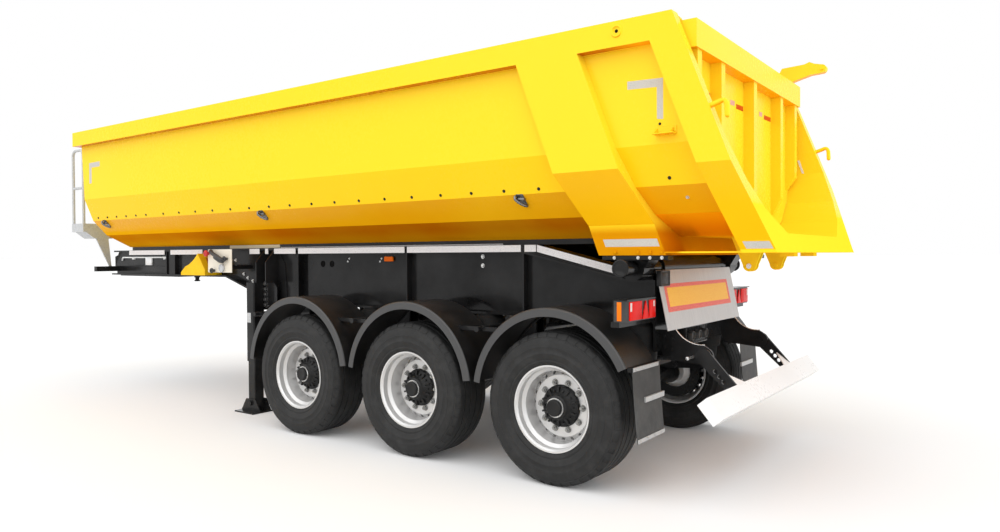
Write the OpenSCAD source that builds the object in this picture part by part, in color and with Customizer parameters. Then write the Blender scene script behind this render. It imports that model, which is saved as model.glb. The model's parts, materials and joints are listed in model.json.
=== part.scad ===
// Three-axle tipper semi-trailer, standing uncoupled on its landing legs.
// X runs from the coupling end (negative) to the tailgate (positive), Y across, Z up from the ground.
// The origin is on the ground, in the middle of the overall length and width. Millimetres.

/* [Wheels and axles] */
// Outside diameter of a tyre
tyre_d = 1050; // [1000:5:1080]
// Section width of a tyre
tyre_w = 385; // [365:5:400]
// Bead seat diameter of a rim
rim_d = 572; // [560:1:580]
// Width over the rim flanges
rim_w = 330; // [310:2:345]
// Distance from the centre line to a tyre's middle plane
wheel_y = 1045; // [1030:5:1060]
// Distance between two axles
axle_gap = 1310; // [1300:5:1360]
// Place of the middle axle along the trailer
mid_axle_x = 1565; // [1540:5:1580]
// Diameter of an axle beam
axle_d = 127; // [110:1:140]
// Diameter of a wheel spindle
spindle_d = 90; // [70:1:100]
// Number of hand holes in a wheel disc
hand_holes = 20; // [10:1:24]

/* [Chassis] */
// Distance from the centre line to a main beam's web
beam_y = 640; // [630:5:650]
// Height of the main beams' top above the ground
beam_top_z = 1650; // [1630:5:1660]
// Depth of the main beams
beam_depth = 550; // [530:5:570]
// Depth of the beams at the gooseneck
neck_depth = 300; // [280:5:330]
// Thickness of a beam's web
web_t = 12; // [8:1:16]
// Width of a beam's flanges
flange_w = 150; // [140:2:160]
// Thickness of a beam's flanges
flange_t = 18; // [12:1:22]
// Place of the beams' front end
nose_x = -3925; // [-3960:5:-3900]
// Length of the straight tail behind the tipping axis
tail_len = 55; // [50:1:60]
// Place of the king pin along the trailer
kingpin_x = -3190; // [-3250:5:-3130]
// Diameter of the king pin's neck
kingpin_d = 50.8; // [50:0.1:51]
// Length of the king pin below its plate
kingpin_len = 84; // [80:1:90]
// Thickness of the coupling plate
plate_t = 10; // [8:1:14]
// Place of the landing legs along the trailer
leg_x = -910; // [-940:5:-880]
// Side of a landing leg's outer tube
leg_w = 130; // [110:2:140]
// Wall of a landing leg's outer tube
leg_wall = 10; // [6:1:12]

/* [Tipping hinge] */
// Place of the tipping axis along the trailer
pivot_x = 3345; // [3340:1:3350]
// Height of the tipping axis above the ground
pivot_z = 1478; // [1474:1:1482]
// Diameter of the hinge pins
pivot_d = 100; // [90:1:104]

/* [Tub] */
// Width over the upper walls
tub_w = 2390; // [2370:5:2410]
// How far the top rails and ribs stand out from the walls
rail_out = 80; // [70:1:90]
// Height of the top rails' section
rail_h = 160; // [140:5:180]
// Thickness of the tub's plates
tub_t = 8; // [6:1:10]
// Height of the floor plate's underside
floor_z = 1690; // [1685:1:1700]
// Width of the flat floor
floor_w = 1360; // [1340:5:1370]
// Height of the lowest side facet
facet_low_h = 141; // [135:1:150]
// Height of the middle side facet
facet_mid_h = 169; // [160:1:180]
// Height of the upper side facet
facet_top_h = 249; // [240:1:260]
// Height of the upright wall, up to the top rail
wall_h = 621; // [600:1:640]
// Place of the rear corners, at the bottom
rear_x = 4335; // [4325:1:4345]
// Place of the front wall's top
front_x = -3645; // [-3660:5:-3630]
// How far the front wall leans back towards its foot
front_lean = 110; // [90:5:120]
// Backward run of the rear end and the ribs for each millimetre down
rear_slope = 0.385; // [0.37:0.005:0.39]
// Width of a side rib along the trailer
rib_len = 480; // [460:5:500]
// Width of a rear post along the trailer
post_len = 205; // [195:5:215]

/* [Tailgate] */
// Place of the tailgate plate's front face
gate_x = 3795; // [3790:1:3800]
// Depth of the tailgate's ribs
gate_rib_d = 90; // [70:2:100]
// Gap between the tailgate and the tub
gate_gap = 10; // [8:1:14]
// Diameter of the tailgate's hinge pins
gate_pin_d = 40; // [30:1:44]

/* [Equipment] */
// Place of the platform's front edge
platform_x = -4335; // [-4340:1:-4330]
// Diameter of the railing's tube
railing_d = 34; // [30:1:40]
// Place of the tipping cylinder along the trailer
ram_x = -4062; // [-4070:1:-4056]
// Outside diameter of the cylinder's barrel
ram_d = 190; // [180:2:196]
// Length of the underrun bar
bar_len = 2350; // [2300:10:2400]
// Diameter of an air tank
tank_d = 270; // [240:5:280]

/* [Hidden] */
$fn = 64;

// Clearances
rest_gap = 0.3;
pin_gap = 0.3;
guard_seat = 0.8;
through = 1;

// Colours
yellow = [0.98, 0.80, 0.05];
black = [0.08, 0.08, 0.085];
silver = [0.75, 0.76, 0.78];
rubber = [0.06, 0.06, 0.06];
grey = [0.33, 0.33, 0.34];
lamp_red = [0.70, 0.05, 0.04];
chock_yellow = [1.00, 0.75, 0.00];

// Running gear places
axle_z = tyre_d / 2;
axle_xs = [mid_axle_x - axle_gap, mid_axle_x, mid_axle_x + axle_gap];
hanger_dx = 520;
hanger_t = 20;
hanger_pin_d = 30;
hanger_pivot_z = axle_z + 135;
arm_w = 70;
arm_h = 95;
arm_seat_z = axle_z + axle_d / 2;
spring_dx = 380;
spring_r = 130;
spring_seat_z = arm_seat_z + 62;
hub_inner_y = wheel_y - 200;
spindle_end_y = wheel_y - 35;

// Chassis side outline and places across it
beam_bottom_z = beam_top_z - beam_depth;
neck_bottom_z = beam_top_z - neck_depth;
web_in_y = beam_y - web_t / 2;
web_out_y = beam_y + web_t / 2;
beam_out_y = beam_y + flange_w / 2;
neck_end_x = -1530;
neck_run = 800;
nose_cut = [60, 90];
beam_end_x = pivot_x + tail_len;
tail_top_z = pivot_z - 83;
tail_start_x = pivot_x - 1236;
tail_end_x = pivot_x - 130;
back_plate_t = 15;
back_plate_z = beam_bottom_z - 200;
back_x = beam_end_x + back_plate_t;
leg_mount_t = 12;
leg_y = beam_out_y + leg_mount_t + leg_w / 2;
stiffener_t = 14;
stiffener_xs = [nose_x + 1225, axle_xs[0] - 612, axle_xs[1] - 478, axle_xs[1] + 744];

// Platform strut and the bars that carry it on the nose
platform_d = 290;
strut_x = platform_x + platform_d;
strut_t = 20;
side_bar_x = nose_x + 80;
side_bar_w = 60;
side_bar_t = 40;
side_bar_reach = 970;
side_bar_z = neck_bottom_z + 45;
side_bar_top_z = side_bar_z + 62;

// Mudguards
guard_r = tyre_d / 2 + 120;
guard_z = axle_z + 45;
guard_t = 6;
guard_lip = 60;
guard_w = 430;
guard_y = wheel_y - 15;
guard_fn = 256;
stay_z = beam_bottom_z - 70;
stay_d = 42;
// columns: end of a mudguard's arc before and behind the upright, in degrees
guard_ends = [[85, 82], [82, 82], [82, 64]];
flap_t = 6;
flap_len = 480;
flap_x = axle_xs[2] + guard_r * sin(guard_ends[2][1]) + rest_gap;
flap_top_z = guard_z + guard_r * cos(guard_ends[2][1]) + 7;
flap_ys = [guard_y - guard_w / 2 + 35, guard_y + guard_w / 2 - 15];

// Rear equipment
board_top = [back_x + 15, pivot_z - 16];
board_foot = [back_x + 100, pivot_z - 428];
board_t = 4;
board_w = 1470;
bracket_y = beam_y - 40;
bracket_t = 20;
fold_x = back_x + 315;
fold_z = beam_bottom_z - 220;
fold_pin_d = 40;
arm_gap = 5;
arm_t = 20;
arm_y = bracket_y + bracket_t + arm_gap;
bar_top = [fold_x + 222, fold_z - 168];
bar_foot = [fold_x + 322, fold_z - 286];
bar_depth = 79;
lamp_z = beam_bottom_z + 40;
lamp_h = 135;
lamp_w = 440;
lamp_d = 85;
lamp_x = beam_end_x - 42;
lamp_end_y = wheel_y + 170;

// Tub section, from the top rail to the floor's edge
wall_y = tub_w / 2;
rail_y = wall_y + rail_out;
bend_3 = [wall_y - 235, floor_z + facet_low_h];
bend_2 = [wall_y - 85, bend_3[1] + facet_mid_h];
bend_1_z = bend_2[1] + facet_top_h;
wall_joint_z = bend_1_z + 21;
rail_bottom_z = bend_1_z + wall_h;
rail_top_z = rail_bottom_z + rail_h;
floor_edge = [floor_w / 2, floor_z];
head_d = 50;

// Ribs, posts and sills
ear_r = pivot_d / 2 + 36;
rib_x = pivot_x - 699;
rib_kink_z = bend_1_z - 141;
rib_foot_z = pivot_z + ear_r + 1;
rib_foot_y = wall_y - 170;
rib_skirt_h = 200;
post_foot_y = wall_y - 115;
post_skirt_h = 20;
sill_z = floor_z - 112;
shelf_t = 10;

// Tailgate
gate_half = wall_y - tub_t - gate_gap;
gate_top_z = rail_top_z - 45;
gate_beam_h = 170;
gate_rib_w = 70;
gate_hinge_x = gate_x - 50;
gate_hinge_z = gate_top_z;
gate_ear_r = gate_pin_d / 2 + 25;
gate_ear_t = 36;
gate_ear_y = gate_half - 42;

// Tipping cylinder
ram_foot_z = neck_bottom_z + 100;
ram_eye_z = rail_top_z - 90;
ram_pin_d = 60;
ram_stage_gap = 3;
ram_stage_wall = 12;
stage_step = 20;
stage_count = 5;
stage_foot_z = ram_foot_z + 80;
barrel_top_z = ram_eye_z - 160;

// A plate drawn in the XZ plane, from y0 to y0 + t
module side_plate(points, y0, t) {
  translate([0, y0 + t, 0]) rotate([90, 0, 0]) linear_extrude(t) polygon(points);
}

// A profile drawn in the YZ plane, from x0 to x1
module cross_profile(points, x0, x1) {
  translate([x0, 0, 0]) rotate([90, 0, 90]) linear_extrude(x1 - x0) polygon(points);
}

// A block given by its two corners
module block(low, high) {
  translate(low) cube(high - low);
}

// A round bar along Y
module bar_y(x, z, d, y0, y1, fn = $fn) {
  translate([x, y1, z]) rotate([90, 0, 0]) cylinder(d = d, h = y1 - y0, $fn = fn);
}

module both_sides() {
  children();
  mirror([0, 1, 0]) children();
}

// An upright post of square section with round corners
module round_post(w, corner, h) {
  inset = w / 2 - corner;
  linear_extrude(h) polygon([
    for (turn = [0:90:270], a = [0:30:90])
      inset * sqrt(2) * [cos(turn + 45), sin(turn + 45)] + corner * [cos(turn + a), sin(turn + a)]]);
}

// Mitred parallel of an open line of points, moved by t to its right-hand side
function unit(v) = v / norm(v);
function right_of(v) = [v[1], -v[0]];
function parallel(p, t) = [
  for (i = [0:len(p) - 1])
    let (
      a = right_of(unit(i > 0 ? p[i] - p[i - 1] : p[1] - p[0])),
      b = right_of(unit(i < len(p) - 1 ? p[i + 1] - p[i] : p[i] - p[i - 1]))
    ) p[i] + t * (a + b) / (1 + a * b)
];
function reversed(p) = [for (i = [len(p) - 1:-1:0]) p[i]];
function mirrored(p) = [for (q = p) [-q[0], q[1]]];
function raised(p, dz) = [for (q = p) [q[0], q[1] + dz]];

// The tub's outer section, floor in the middle, and its inside
trough_half = [floor_edge, bend_3, bend_2, [wall_y, bend_1_z], [wall_y, wall_joint_z]];
trough_outer = concat(reversed(mirrored(trough_half)), trough_half);
trough_inner = parallel(trough_outer, -tub_t);

// Rear end and rib edges, leaning back towards the ground, and the front wall's lean
function slant_x(x, z0, z) = x + rear_slope * (z0 - z);
function rear_edge_x(z) = slant_x(rear_x, sill_z, z);
function rib_edge_x(dx, z) = slant_x(rib_x + dx, rail_bottom_z, z);
function front_edge_x(z) = front_x + front_lean * (rail_bottom_z - z) / (rail_bottom_z - floor_z);

// The main beams' side outline, along the top and along the bottom
beam_top_line = [
  [nose_x + nose_cut[0], beam_top_z], [tail_start_x, beam_top_z], [tail_end_x, tail_top_z],
  [beam_end_x, tail_top_z]];
beam_bottom_line = [
  [nose_x, neck_bottom_z], [neck_end_x, neck_bottom_z], [neck_end_x + neck_run, beam_bottom_z],
  [beam_end_x, beam_bottom_z]];

module main_beams() {
  web_outline = concat(beam_top_line, reversed(beam_bottom_line), [[nose_x, beam_top_z - nose_cut[1]]]);
  stiffener_d = flange_w / 2 - 8;
  // columns: edge line, step to the flange's inner face
  edges = [[beam_top_line, -flange_t], [beam_bottom_line, flange_t]];
  color(black) both_sides() {
    side_plate(web_outline, beam_y - web_t / 2, web_t);
    for (e = edges)
      side_plate(concat(e[0], reversed(raised(e[0], e[1]))), beam_y - flange_w / 2, flange_w);
    for (x = stiffener_xs)
      intersection() {
        block([x, beam_y, beam_bottom_z], [x + stiffener_t, beam_y + stiffener_d, beam_top_z]);
        side_plate(web_outline, beam_y, stiffener_d);
      }
  }
}

// A folded channel across the frame, open towards the front
module channel(x, z0, h) {
  half = 40;
  t = 8;
  side_plate([
    [x - half, z0], [x + half, z0], [x + half, z0 + h], [x - half, z0 + h], [x - half, z0 + h - t],
    [x + half - t, z0 + h - t], [x + half - t, z0 + t], [x - half, z0 + t]], -web_in_y, 2 * web_in_y);
}

tank_xs = [axle_xs[0] + axle_gap / 2, axle_xs[1] + axle_gap / 2];
tank_top_z = beam_bottom_z + 100;

module crossmembers() {
  neck_z = neck_bottom_z + 20;
  leg_z = beam_bottom_z + 220;
  channel_h = 150;
  bracket_t = 45;
  bracket_len = 145;
  bracket_x = stiffener_xs[0] + stiffener_t;
  // columns: place along X, bottom height
  members = [
    [nose_x + 225, neck_z], [nose_x + 1025, neck_z], [leg_x - 285, leg_z], [axle_xs[0] - 555, tank_top_z],
    [tank_xs[0], tank_top_z], [tank_xs[1], tank_top_z], [axle_xs[2] + 175, tank_top_z - 20]];
  color(black) {
    for (m = members) channel(m[0], m[1], channel_h);
    block([beam_end_x, -beam_out_y, back_plate_z], [back_x, beam_out_y, tail_top_z]);
    // Bars along and across the nose under the platform's strut, and the bracket at their end
    block([strut_x - strut_t, -web_out_y - side_bar_t, side_bar_z],
          [stiffener_xs[0], -web_out_y, side_bar_top_z]);
    block([side_bar_x, -side_bar_reach, side_bar_z],
          [side_bar_x + side_bar_w, -web_out_y - side_bar_t, side_bar_top_z]);
    block([bracket_x, -web_out_y - bracket_t, neck_bottom_z + flange_t],
          [bracket_x + bracket_len, -web_out_y, beam_top_z - flange_t]);
  }
}

king_flange_d = 140;
king_flange_t = 14;

module coupling_plate() {
  bottom_z = neck_bottom_z - plate_t;
  lip_y = 300;
  lip_x = nose_x + 75;
  back = kingpin_x + 755;
  color(black) difference() {
    union() {
      translate([0, 0, bottom_z]) linear_extrude(plate_t)
        polygon([
          [lip_x, -lip_y], [lip_x + 140, -beam_out_y], [back, -beam_out_y], [back, beam_out_y],
          [lip_x + 140, beam_out_y], [lip_x, lip_y]]);
      // Front edge, bent up to lead the coupling in
      side_plate([
        [lip_x, bottom_z], [lip_x, bottom_z + plate_t], [lip_x - 90, bottom_z + plate_t + 15],
        [lip_x - 90, bottom_z + 15]], -lip_y, 2 * lip_y);
    }
    translate([kingpin_x, 0, bottom_z - through]) cylinder(d = king_flange_d, h = plate_t + 2 * through);
  }
}

module kingpin() {
  top_z = neck_bottom_z - plate_t;
  shoulder = [73, 35];
  collar = [71, 16];
  color(black) translate([kingpin_x, 0, 0]) {
    translate([0, 0, top_z]) cylinder(d = king_flange_d - 2 * rest_gap, h = plate_t + king_flange_t);
    translate([0, 0, top_z - shoulder[1]]) cylinder(d = shoulder[0], h = shoulder[1]);
    translate([0, 0, top_z - kingpin_len + collar[1]]) cylinder(d = kingpin_d, h = kingpin_len);
    translate([0, 0, top_z - kingpin_len]) cylinder(d = collar[0], h = collar[1]);
  }
}

leg_head_z = beam_bottom_z + 205;
leg_foot_z = 510;

// Gusset across the beam: on its web and the mounting plate, wider above the leg's head
module leg_fin(x) {
  t = 12;
  plate_y = beam_out_y + leg_mount_t;
  low_z = beam_bottom_z + 130;
  shoulder = [leg_y + 20, beam_top_z - 140];
  high_z = beam_top_z - flange_t - 10;
  cross_profile([
    [web_out_y, low_z], [plate_y, low_z], [plate_y, leg_head_z], [shoulder[0], leg_head_z], shoulder,
    [beam_out_y, high_z], [web_out_y, high_z]], x, x + t);
}

// Square legs on a mounting plate beside the beam, tied to its web by two gussets and a doubler
module landing_legs() {
  half = leg_w / 2;
  cap_t = 22;
  shaft_d = 40;
  shaft_z = beam_bottom_z - 60;
  plate_xs = [leg_x - half, leg_x + 260];
  plate_z = beam_bottom_z - 30;
  plate_cut = 50;
  fin_xs = [leg_x + 33, leg_x + 186];
  doubler_t = 10;
  doubler_z = beam_bottom_z + 30;
  color(black) {
    both_sides() {
      difference() {
        translate([leg_x, leg_y, leg_foot_z]) round_post(leg_w, 18, leg_head_z - leg_foot_z);
        translate([leg_x, leg_y, leg_foot_z - through])
          round_post(leg_w - 2 * leg_wall, 10, leg_head_z - cap_t - leg_foot_z + through);
      }
      for (x = fin_xs) leg_fin(x);
      side_plate([
        [plate_xs[0], leg_head_z], [plate_xs[0], plate_z], [plate_xs[1], plate_z],
        [plate_xs[1], leg_head_z - plate_cut], [plate_xs[1] - plate_cut, leg_head_z]],
        beam_out_y, leg_mount_t);
      side_plate([
        [fin_xs[1], doubler_z], [fin_xs[1] + 145, doubler_z], [fin_xs[1] + 115, beam_top_z - 160],
        [fin_xs[1] + 40, beam_top_z - 60], [fin_xs[1], beam_top_z - 60]], web_out_y, doubler_t);
    }
    bar_y(leg_x, shaft_z, shaft_d, -leg_y + half + rest_gap, leg_y - half - rest_gap);
  }
}

module landing_feet() {
  inner = leg_w - 2 * leg_wall - 2 * rest_gap;
  sole_z = 14;
  sole = 150;
  rocker = [75, 130];
  cheek_t = 12;
  color(black) both_sides() translate([leg_x, leg_y, 0]) {
    translate([0, 0, sole_z]) round_post(inner, 10, leg_foot_z + 190);
    translate([-sole, -sole, 0]) cube([2 * sole, 2 * sole, sole_z]);
    for (dy = [-inner / 2 - cheek_t, inner / 2])
      side_plate([[-sole, sole_z], [sole, sole_z], rocker, [-rocker[0], rocker[1]]], dy, cheek_t);
    bar_y(0, rocker[1] - 40, 50, -inner / 2 - cheek_t - 18, inner / 2 + cheek_t + 18);
  }
}

module axle_beams() {
  collar_y = hub_inner_y - 7;
  brake_ys = [wheel_y - 285, wheel_y - 255];
  brake_d = 190;
  chamber_y = 500;
  chamber = [150, 140];
  bracket = [170, 15, 80];
  color(black) for (x = axle_xs) {
    bar_y(x, axle_z, axle_d, -collar_y, collar_y);
    both_sides() {
      bar_y(x, axle_z, spindle_d, collar_y, spindle_end_y);
      bar_y(x, axle_z, brake_d, brake_ys[0], brake_ys[1]);
      translate([x - bracket[0], chamber_y, axle_z - 20]) cube(bracket);
      bar_y(x - bracket[0] + 20, axle_z + 45, chamber[0], chamber_y - chamber[1], chamber_y);
    }
  }
}

module suspension_hangers() {
  reach = beam_bottom_z - hanger_pivot_z;
  cheek_y = arm_w / 2 + 5;
  head_y = cheek_y + hanger_t;
  outline = [
    [-75, beam_bottom_z], [75, beam_bottom_z], [50, hanger_pivot_z - 40], [-50, hanger_pivot_z - 40]];
  color(black) for (x = axle_xs) both_sides() translate([x - hanger_dx, beam_y, 0]) {
    difference() {
      union() {
        for (y = [-head_y, cheek_y]) side_plate(outline, y, hanger_t);
        block([-58, -head_y, hanger_pivot_z + reach * 0.45], [-46, head_y, beam_bottom_z]);
      }
      bar_y(0, hanger_pivot_z, hanger_pin_d + 2 * pin_gap, -head_y - through, head_y + through);
    }
    bar_y(0, hanger_pivot_z, hanger_pin_d, -head_y - hanger_t, head_y + hanger_t);
    for (y = [-head_y - hanger_t, head_y]) bar_y(0, hanger_pivot_z, 2 * hanger_pin_d, y, y + hanger_t);
  }
}

module trailing_arms() {
  eye_d = 96;
  tail_x = spring_dx + 120;
  outline = [
    [-hanger_dx - 20, hanger_pivot_z - 45], [-90, arm_seat_z], [90, arm_seat_z], [tail_x, arm_seat_z + 30],
    [tail_x, spring_seat_z], [spring_dx - 120, spring_seat_z], [130, arm_seat_z + arm_h],
    [-130, arm_seat_z + arm_h], [-hanger_dx - 20, hanger_pivot_z + 45]];
  color(black) for (x = axle_xs) both_sides() translate([x, beam_y, 0])
    difference() {
      union() {
        side_plate(outline, -arm_w / 2, arm_w);
        bar_y(-hanger_dx, hanger_pivot_z, eye_d, -arm_w / 2, arm_w / 2);
      }
      bar_y(-hanger_dx, hanger_pivot_z, hanger_pin_d + 2 * pin_gap, -arm_w, arm_w);
    }
}

// Dampers between the trailing arms and the beams' webs, each on two cross pins
module shock_absorbers() {
  low = [150, arm_seat_z + arm_h / 2];
  high = [70, beam_bottom_z + 90];
  run = high - low;
  eye_y = beam_y - flange_w / 2 - 45;
  eye_w = 40;
  eye_d = 62;
  pin_d = 24;
  body_d = 66;
  rod_d = 44;
  color(black) for (x = axle_xs) both_sides() translate([x, 0, 0]) {
    bar_y(low[0], low[1], pin_d, eye_y - eye_w / 2 - 10, beam_y - arm_w / 2);
    bar_y(high[0], high[1], pin_d, eye_y - eye_w / 2 - 10, web_in_y);
    for (p = [low, high]) bar_y(p[0], p[1], eye_d, eye_y - eye_w / 2, eye_y + eye_w / 2);
    translate([low[0], eye_y, low[1]]) rotate([0, atan2(run[0], run[1]), 0]) {
      cylinder(d = rod_d, h = norm(run));
      translate([0, 0, eye_d / 2]) cylinder(d = body_d, h = norm(run) * 0.55);
    }
  }
}

// Rolling-lobe springs: piston, lobe and bellows, from the arm's seat up to the beam
module air_springs() {
  h = beam_bottom_z - spring_seat_z;
  piston_r = spring_r - 40;
  plate_r = spring_r - 30;
  plate_t = 12;
  color(rubber) for (x = axle_xs) both_sides()
    translate([x + spring_dx, beam_y, spring_seat_z])
      rotate_extrude()
        polygon([
          [0, 0], [piston_r, 0], [piston_r + 12, h * 0.34], [spring_r - 12, h * 0.34],
          [spring_r - 3, h * 0.38], [spring_r, h * 0.46], [spring_r, h * 0.82],
          [spring_r - 10, h * 0.93], [plate_r, h - plate_t], [plate_r, h], [0, h]]);
}

// A mudguard's shell over one wheel: skin with a broad lip outside and a narrow one inside
module mudguard(x, front_deg, rear_deg) {
  t = guard_t;
  edge = 10;
  inner_lip = 22;
  section = [
    [guard_r - guard_lip, 0], [guard_r - edge, 0], [guard_r, edge], [guard_r, guard_w - edge],
    [guard_r - edge, guard_w], [guard_r - inner_lip, guard_w], [guard_r - inner_lip, guard_w - t],
    [guard_r - edge - 2, guard_w - t], [guard_r - t, guard_w - edge - 2], [guard_r - t, edge + 2],
    [guard_r - edge - 2, t], [guard_r - guard_lip, t]];
  translate([x, guard_y + guard_w / 2, guard_z]) rotate([90, 0, 0]) rotate([0, 0, 90 - rear_deg])
    rotate_extrude(angle = front_deg + rear_deg, $fn = guard_fn) polygon(section);
}

module mudguards_right() {
  color(grey) for (i = [0:2]) mudguard(axle_xs[i], guard_ends[i][0], guard_ends[i][1]);
}

module mudguards_left() {
  mirror([0, 1, 0]) mudguards_right();
}

// Drop bracket, cross tube and flank bar that carry the mudguards between the wheels
module mudguard_stays() {
  flank_dx = sqrt(pow(guard_r, 2) - pow(stay_z - guard_z, 2));
  half_gap = axle_gap / 2 - flank_dx;
  // columns: place along X, forward reach, rearward reach of the flank bar
  stays = [
    [axle_xs[0] - axle_gap / 2, 20, half_gap], [axle_xs[0] + axle_gap / 2, half_gap, half_gap],
    [axle_xs[1] + axle_gap / 2, half_gap, half_gap]];
  tube_end_y = guard_y + 150;
  bar_at_y = guard_y + 90;
  bar = 15;
  spare = 60;
  drop = [30, 20];
  color(black) both_sides() for (s = stays) {
    block([s[0] - drop[0], beam_y - drop[1], stay_z - drop[0]],
          [s[0] + drop[0], beam_y + drop[1], beam_bottom_z]);
    bar_y(s[0], stay_z, stay_d, beam_y, tube_end_y);
    difference() {
      block([s[0] - s[1] - spare, bar_at_y - bar, stay_z - bar],
            [s[0] + s[2] + spare, bar_at_y + bar, stay_z + bar]);
      for (x = axle_xs)
        bar_y(x, guard_z, 2 * (guard_r + guard_seat), bar_at_y - bar - through, bar_at_y + bar + through,
              guard_fn);
    }
  }
}

module mud_flaps() {
  color(grey) both_sides()
    block([flap_x, flap_ys[0], flap_top_z - flap_len], [flap_x + flap_t, flap_ys[1], flap_top_z]);
}

module lamp_carriers() {
  tube = 60;
  tube_h = 36;
  flap_tube = 30;
  shell_t = 8;
  hood_z = lamp_z + lamp_h + rest_gap;
  tube_x = beam_end_x - tube - 5;
  lamp_y = lamp_end_y - lamp_w;
  color(black) both_sides() {
    block([tube_x, beam_out_y, lamp_z - tube_h], [tube_x + tube, lamp_end_y, lamp_z]);
    // Back plate and hood around a lamp
    side_plate([
      [lamp_x - shell_t, lamp_z], [lamp_x - rest_gap, lamp_z], [lamp_x - rest_gap, hood_z],
      [lamp_x + lamp_d + shell_t, hood_z], [lamp_x + lamp_d + shell_t, hood_z + shell_t],
      [lamp_x - shell_t, hood_z + shell_t]], lamp_y, lamp_w);
    // Tube behind the mud flap, from the underrun bracket's outer face
    block([flap_x + flap_t, bracket_y + bracket_t, flap_top_z - flap_tube],
          [flap_x + flap_t + flap_tube, flap_ys[1] + 5, flap_top_z]);
  }
}

// Lamp clusters whose outer corners wrap round to the side
module tail_lamps() {
  corner = 36;
  color(lamp_red) both_sides() translate([0, 0, lamp_z]) linear_extrude(lamp_h)
    polygon([
      [lamp_x, lamp_end_y - lamp_w], [lamp_x + lamp_d, lamp_end_y - lamp_w],
      [lamp_x + lamp_d, lamp_end_y - corner], [lamp_x + lamp_d - 12, lamp_end_y - 12],
      [lamp_x + lamp_d - corner, lamp_end_y], [lamp_x, lamp_end_y]]);
}

// Plain board that leans back towards its foot, on two stand-offs from the rear plate
module sign_board() {
  standoff = [40, 30];
  standoff_y = 380;
  standoff_z = board_foot[1] + 220;
  fall = unit(board_foot - board_top);
  function face_x(z) = board_top[0] + (board_top[1] - z) * fall[0] / -fall[1];
  color(silver) {
    side_plate([
      board_top, board_top + [board_t, 0], board_foot + [board_t, 0], board_foot], -board_w / 2, board_w);
    for (y = [-standoff_y, standoff_y])
      side_plate([
        [back_x, standoff_z], [face_x(standoff_z) + board_t / 2, standoff_z],
        [face_x(standoff_z + standoff[1]) + board_t / 2, standoff_z + standoff[1]],
        [back_x, standoff_z + standoff[1]]], y - standoff[0] / 2, standoff[0]);
  }
}

// Saddle on each beam's tail that carries a hinge pin
module pivot_bearings() {
  saddle_r = pivot_d / 2 + 15;
  pin_end_y = beam_y + 445;
  color(black) both_sides() {
    side_plate([
      [pivot_x - 110, tail_top_z], [beam_end_x, tail_top_z], [pivot_x + saddle_r * 0.8, pivot_z],
      [pivot_x - saddle_r, pivot_z]], beam_y - flange_w / 2, flange_w);
    bar_y(pivot_x, pivot_z, 2 * saddle_r, beam_y - flange_w / 2, beam_out_y);
    bar_y(pivot_x, pivot_z, pivot_d, beam_y, pin_end_y);
  }
}

// Rear plates that carry the underrun bar's pins, with a hollowed upper edge
module underrun_brackets() {
  hub_r = 60;
  top_z = fold_z + 165;
  hollow_d = 420;
  color(black) both_sides() difference() {
    union() {
      difference() {
        side_plate([
          [back_x, top_z], [back_x + 115, top_z], [fold_x + 20, fold_z + hub_r], [fold_x, fold_z - hub_r],
          [fold_x - 170, fold_z - 45], [back_x + 25, fold_z - 40], [back_x, fold_z + 25]],
          bracket_y, bracket_t);
        bar_y(fold_x - 30, fold_z + 285, hollow_d, bracket_y - through, bracket_y + bracket_t + through);
      }
      bar_y(fold_x, fold_z, 2 * hub_r, bracket_y, bracket_y + bracket_t);
    }
    bar_y(fold_x, fold_z, fold_pin_d + 2 * pin_gap, bracket_y - through, bracket_y + bracket_t + through);
  }
}

// The underrun bar's section: its rear face runs from the top to the foot
bar_fall = unit(bar_foot - bar_top);
bar_inward = [bar_fall[1], -bar_fall[0]];
bar_heel = bar_top + bar_depth * bar_inward;

// Folding arms with a row of drain holes along the lower edge
module underrun_arms() {
  hub_r = 55;
  grip = 38;
  hole_d = 30;
  color(black) both_sides() {
    difference() {
      side_plate(
        [bar_heel, bar_top, [fold_x + grip, fold_z + grip - 2], [fold_x - grip, fold_z - grip + 2]],
        arm_y, arm_t);
      for (k = [0.45:0.16:0.8]) {
        c = [fold_x, fold_z] * (1 - k) + (bar_heel * 0.7 + bar_top * 0.3) * k;
        bar_y(c[0], c[1], hole_d, arm_y - through, arm_y + arm_t + through);
      }
    }
    bar_y(fold_x, fold_z, 2 * hub_r, arm_y, arm_y + arm_t);
    bar_y(fold_x, fold_z, fold_pin_d, bracket_y - 15, arm_y);
  }
}

// Closed bar with a triangular gusset at the inner side of each arm
module underrun_bar() {
  gusset = [150, 120];
  gusset_t = 6;
  rise = [fold_x, fold_z] - bar_top;
  color("white") {
    side_plate(
      [bar_top, bar_foot, bar_foot + bar_depth * bar_inward, bar_heel], -bar_len / 2, bar_len);
    both_sides() translate([bar_top[0], 0, bar_top[1]]) rotate([0, atan2(rise[0], rise[1]), 0])
      cross_profile([
        [arm_y, -10], [arm_y, gusset[1]], [arm_y - 12, gusset[1]], [arm_y - gusset[0], 0],
        [arm_y - gusset[0], -10]], -gusset_t, 0);
  }
}

// Round tanks with domed ends, hung under two cross members
module air_tanks() {
  tank_len = 900;
  dome = 60;
  r = tank_d / 2;
  dome_line = [for (a = [0:22.5:90]) [r * sin(a), dome * (1 - cos(a))]];
  color(black) for (x = tank_xs)
    translate([x, -tank_len / 2, tank_top_z - r]) rotate([-90, 0, 0])
      rotate_extrude()
        polygon(concat(dome_line, reversed([for (p = dome_line) [p[0], tank_len - p[1]]])));
}

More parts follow.
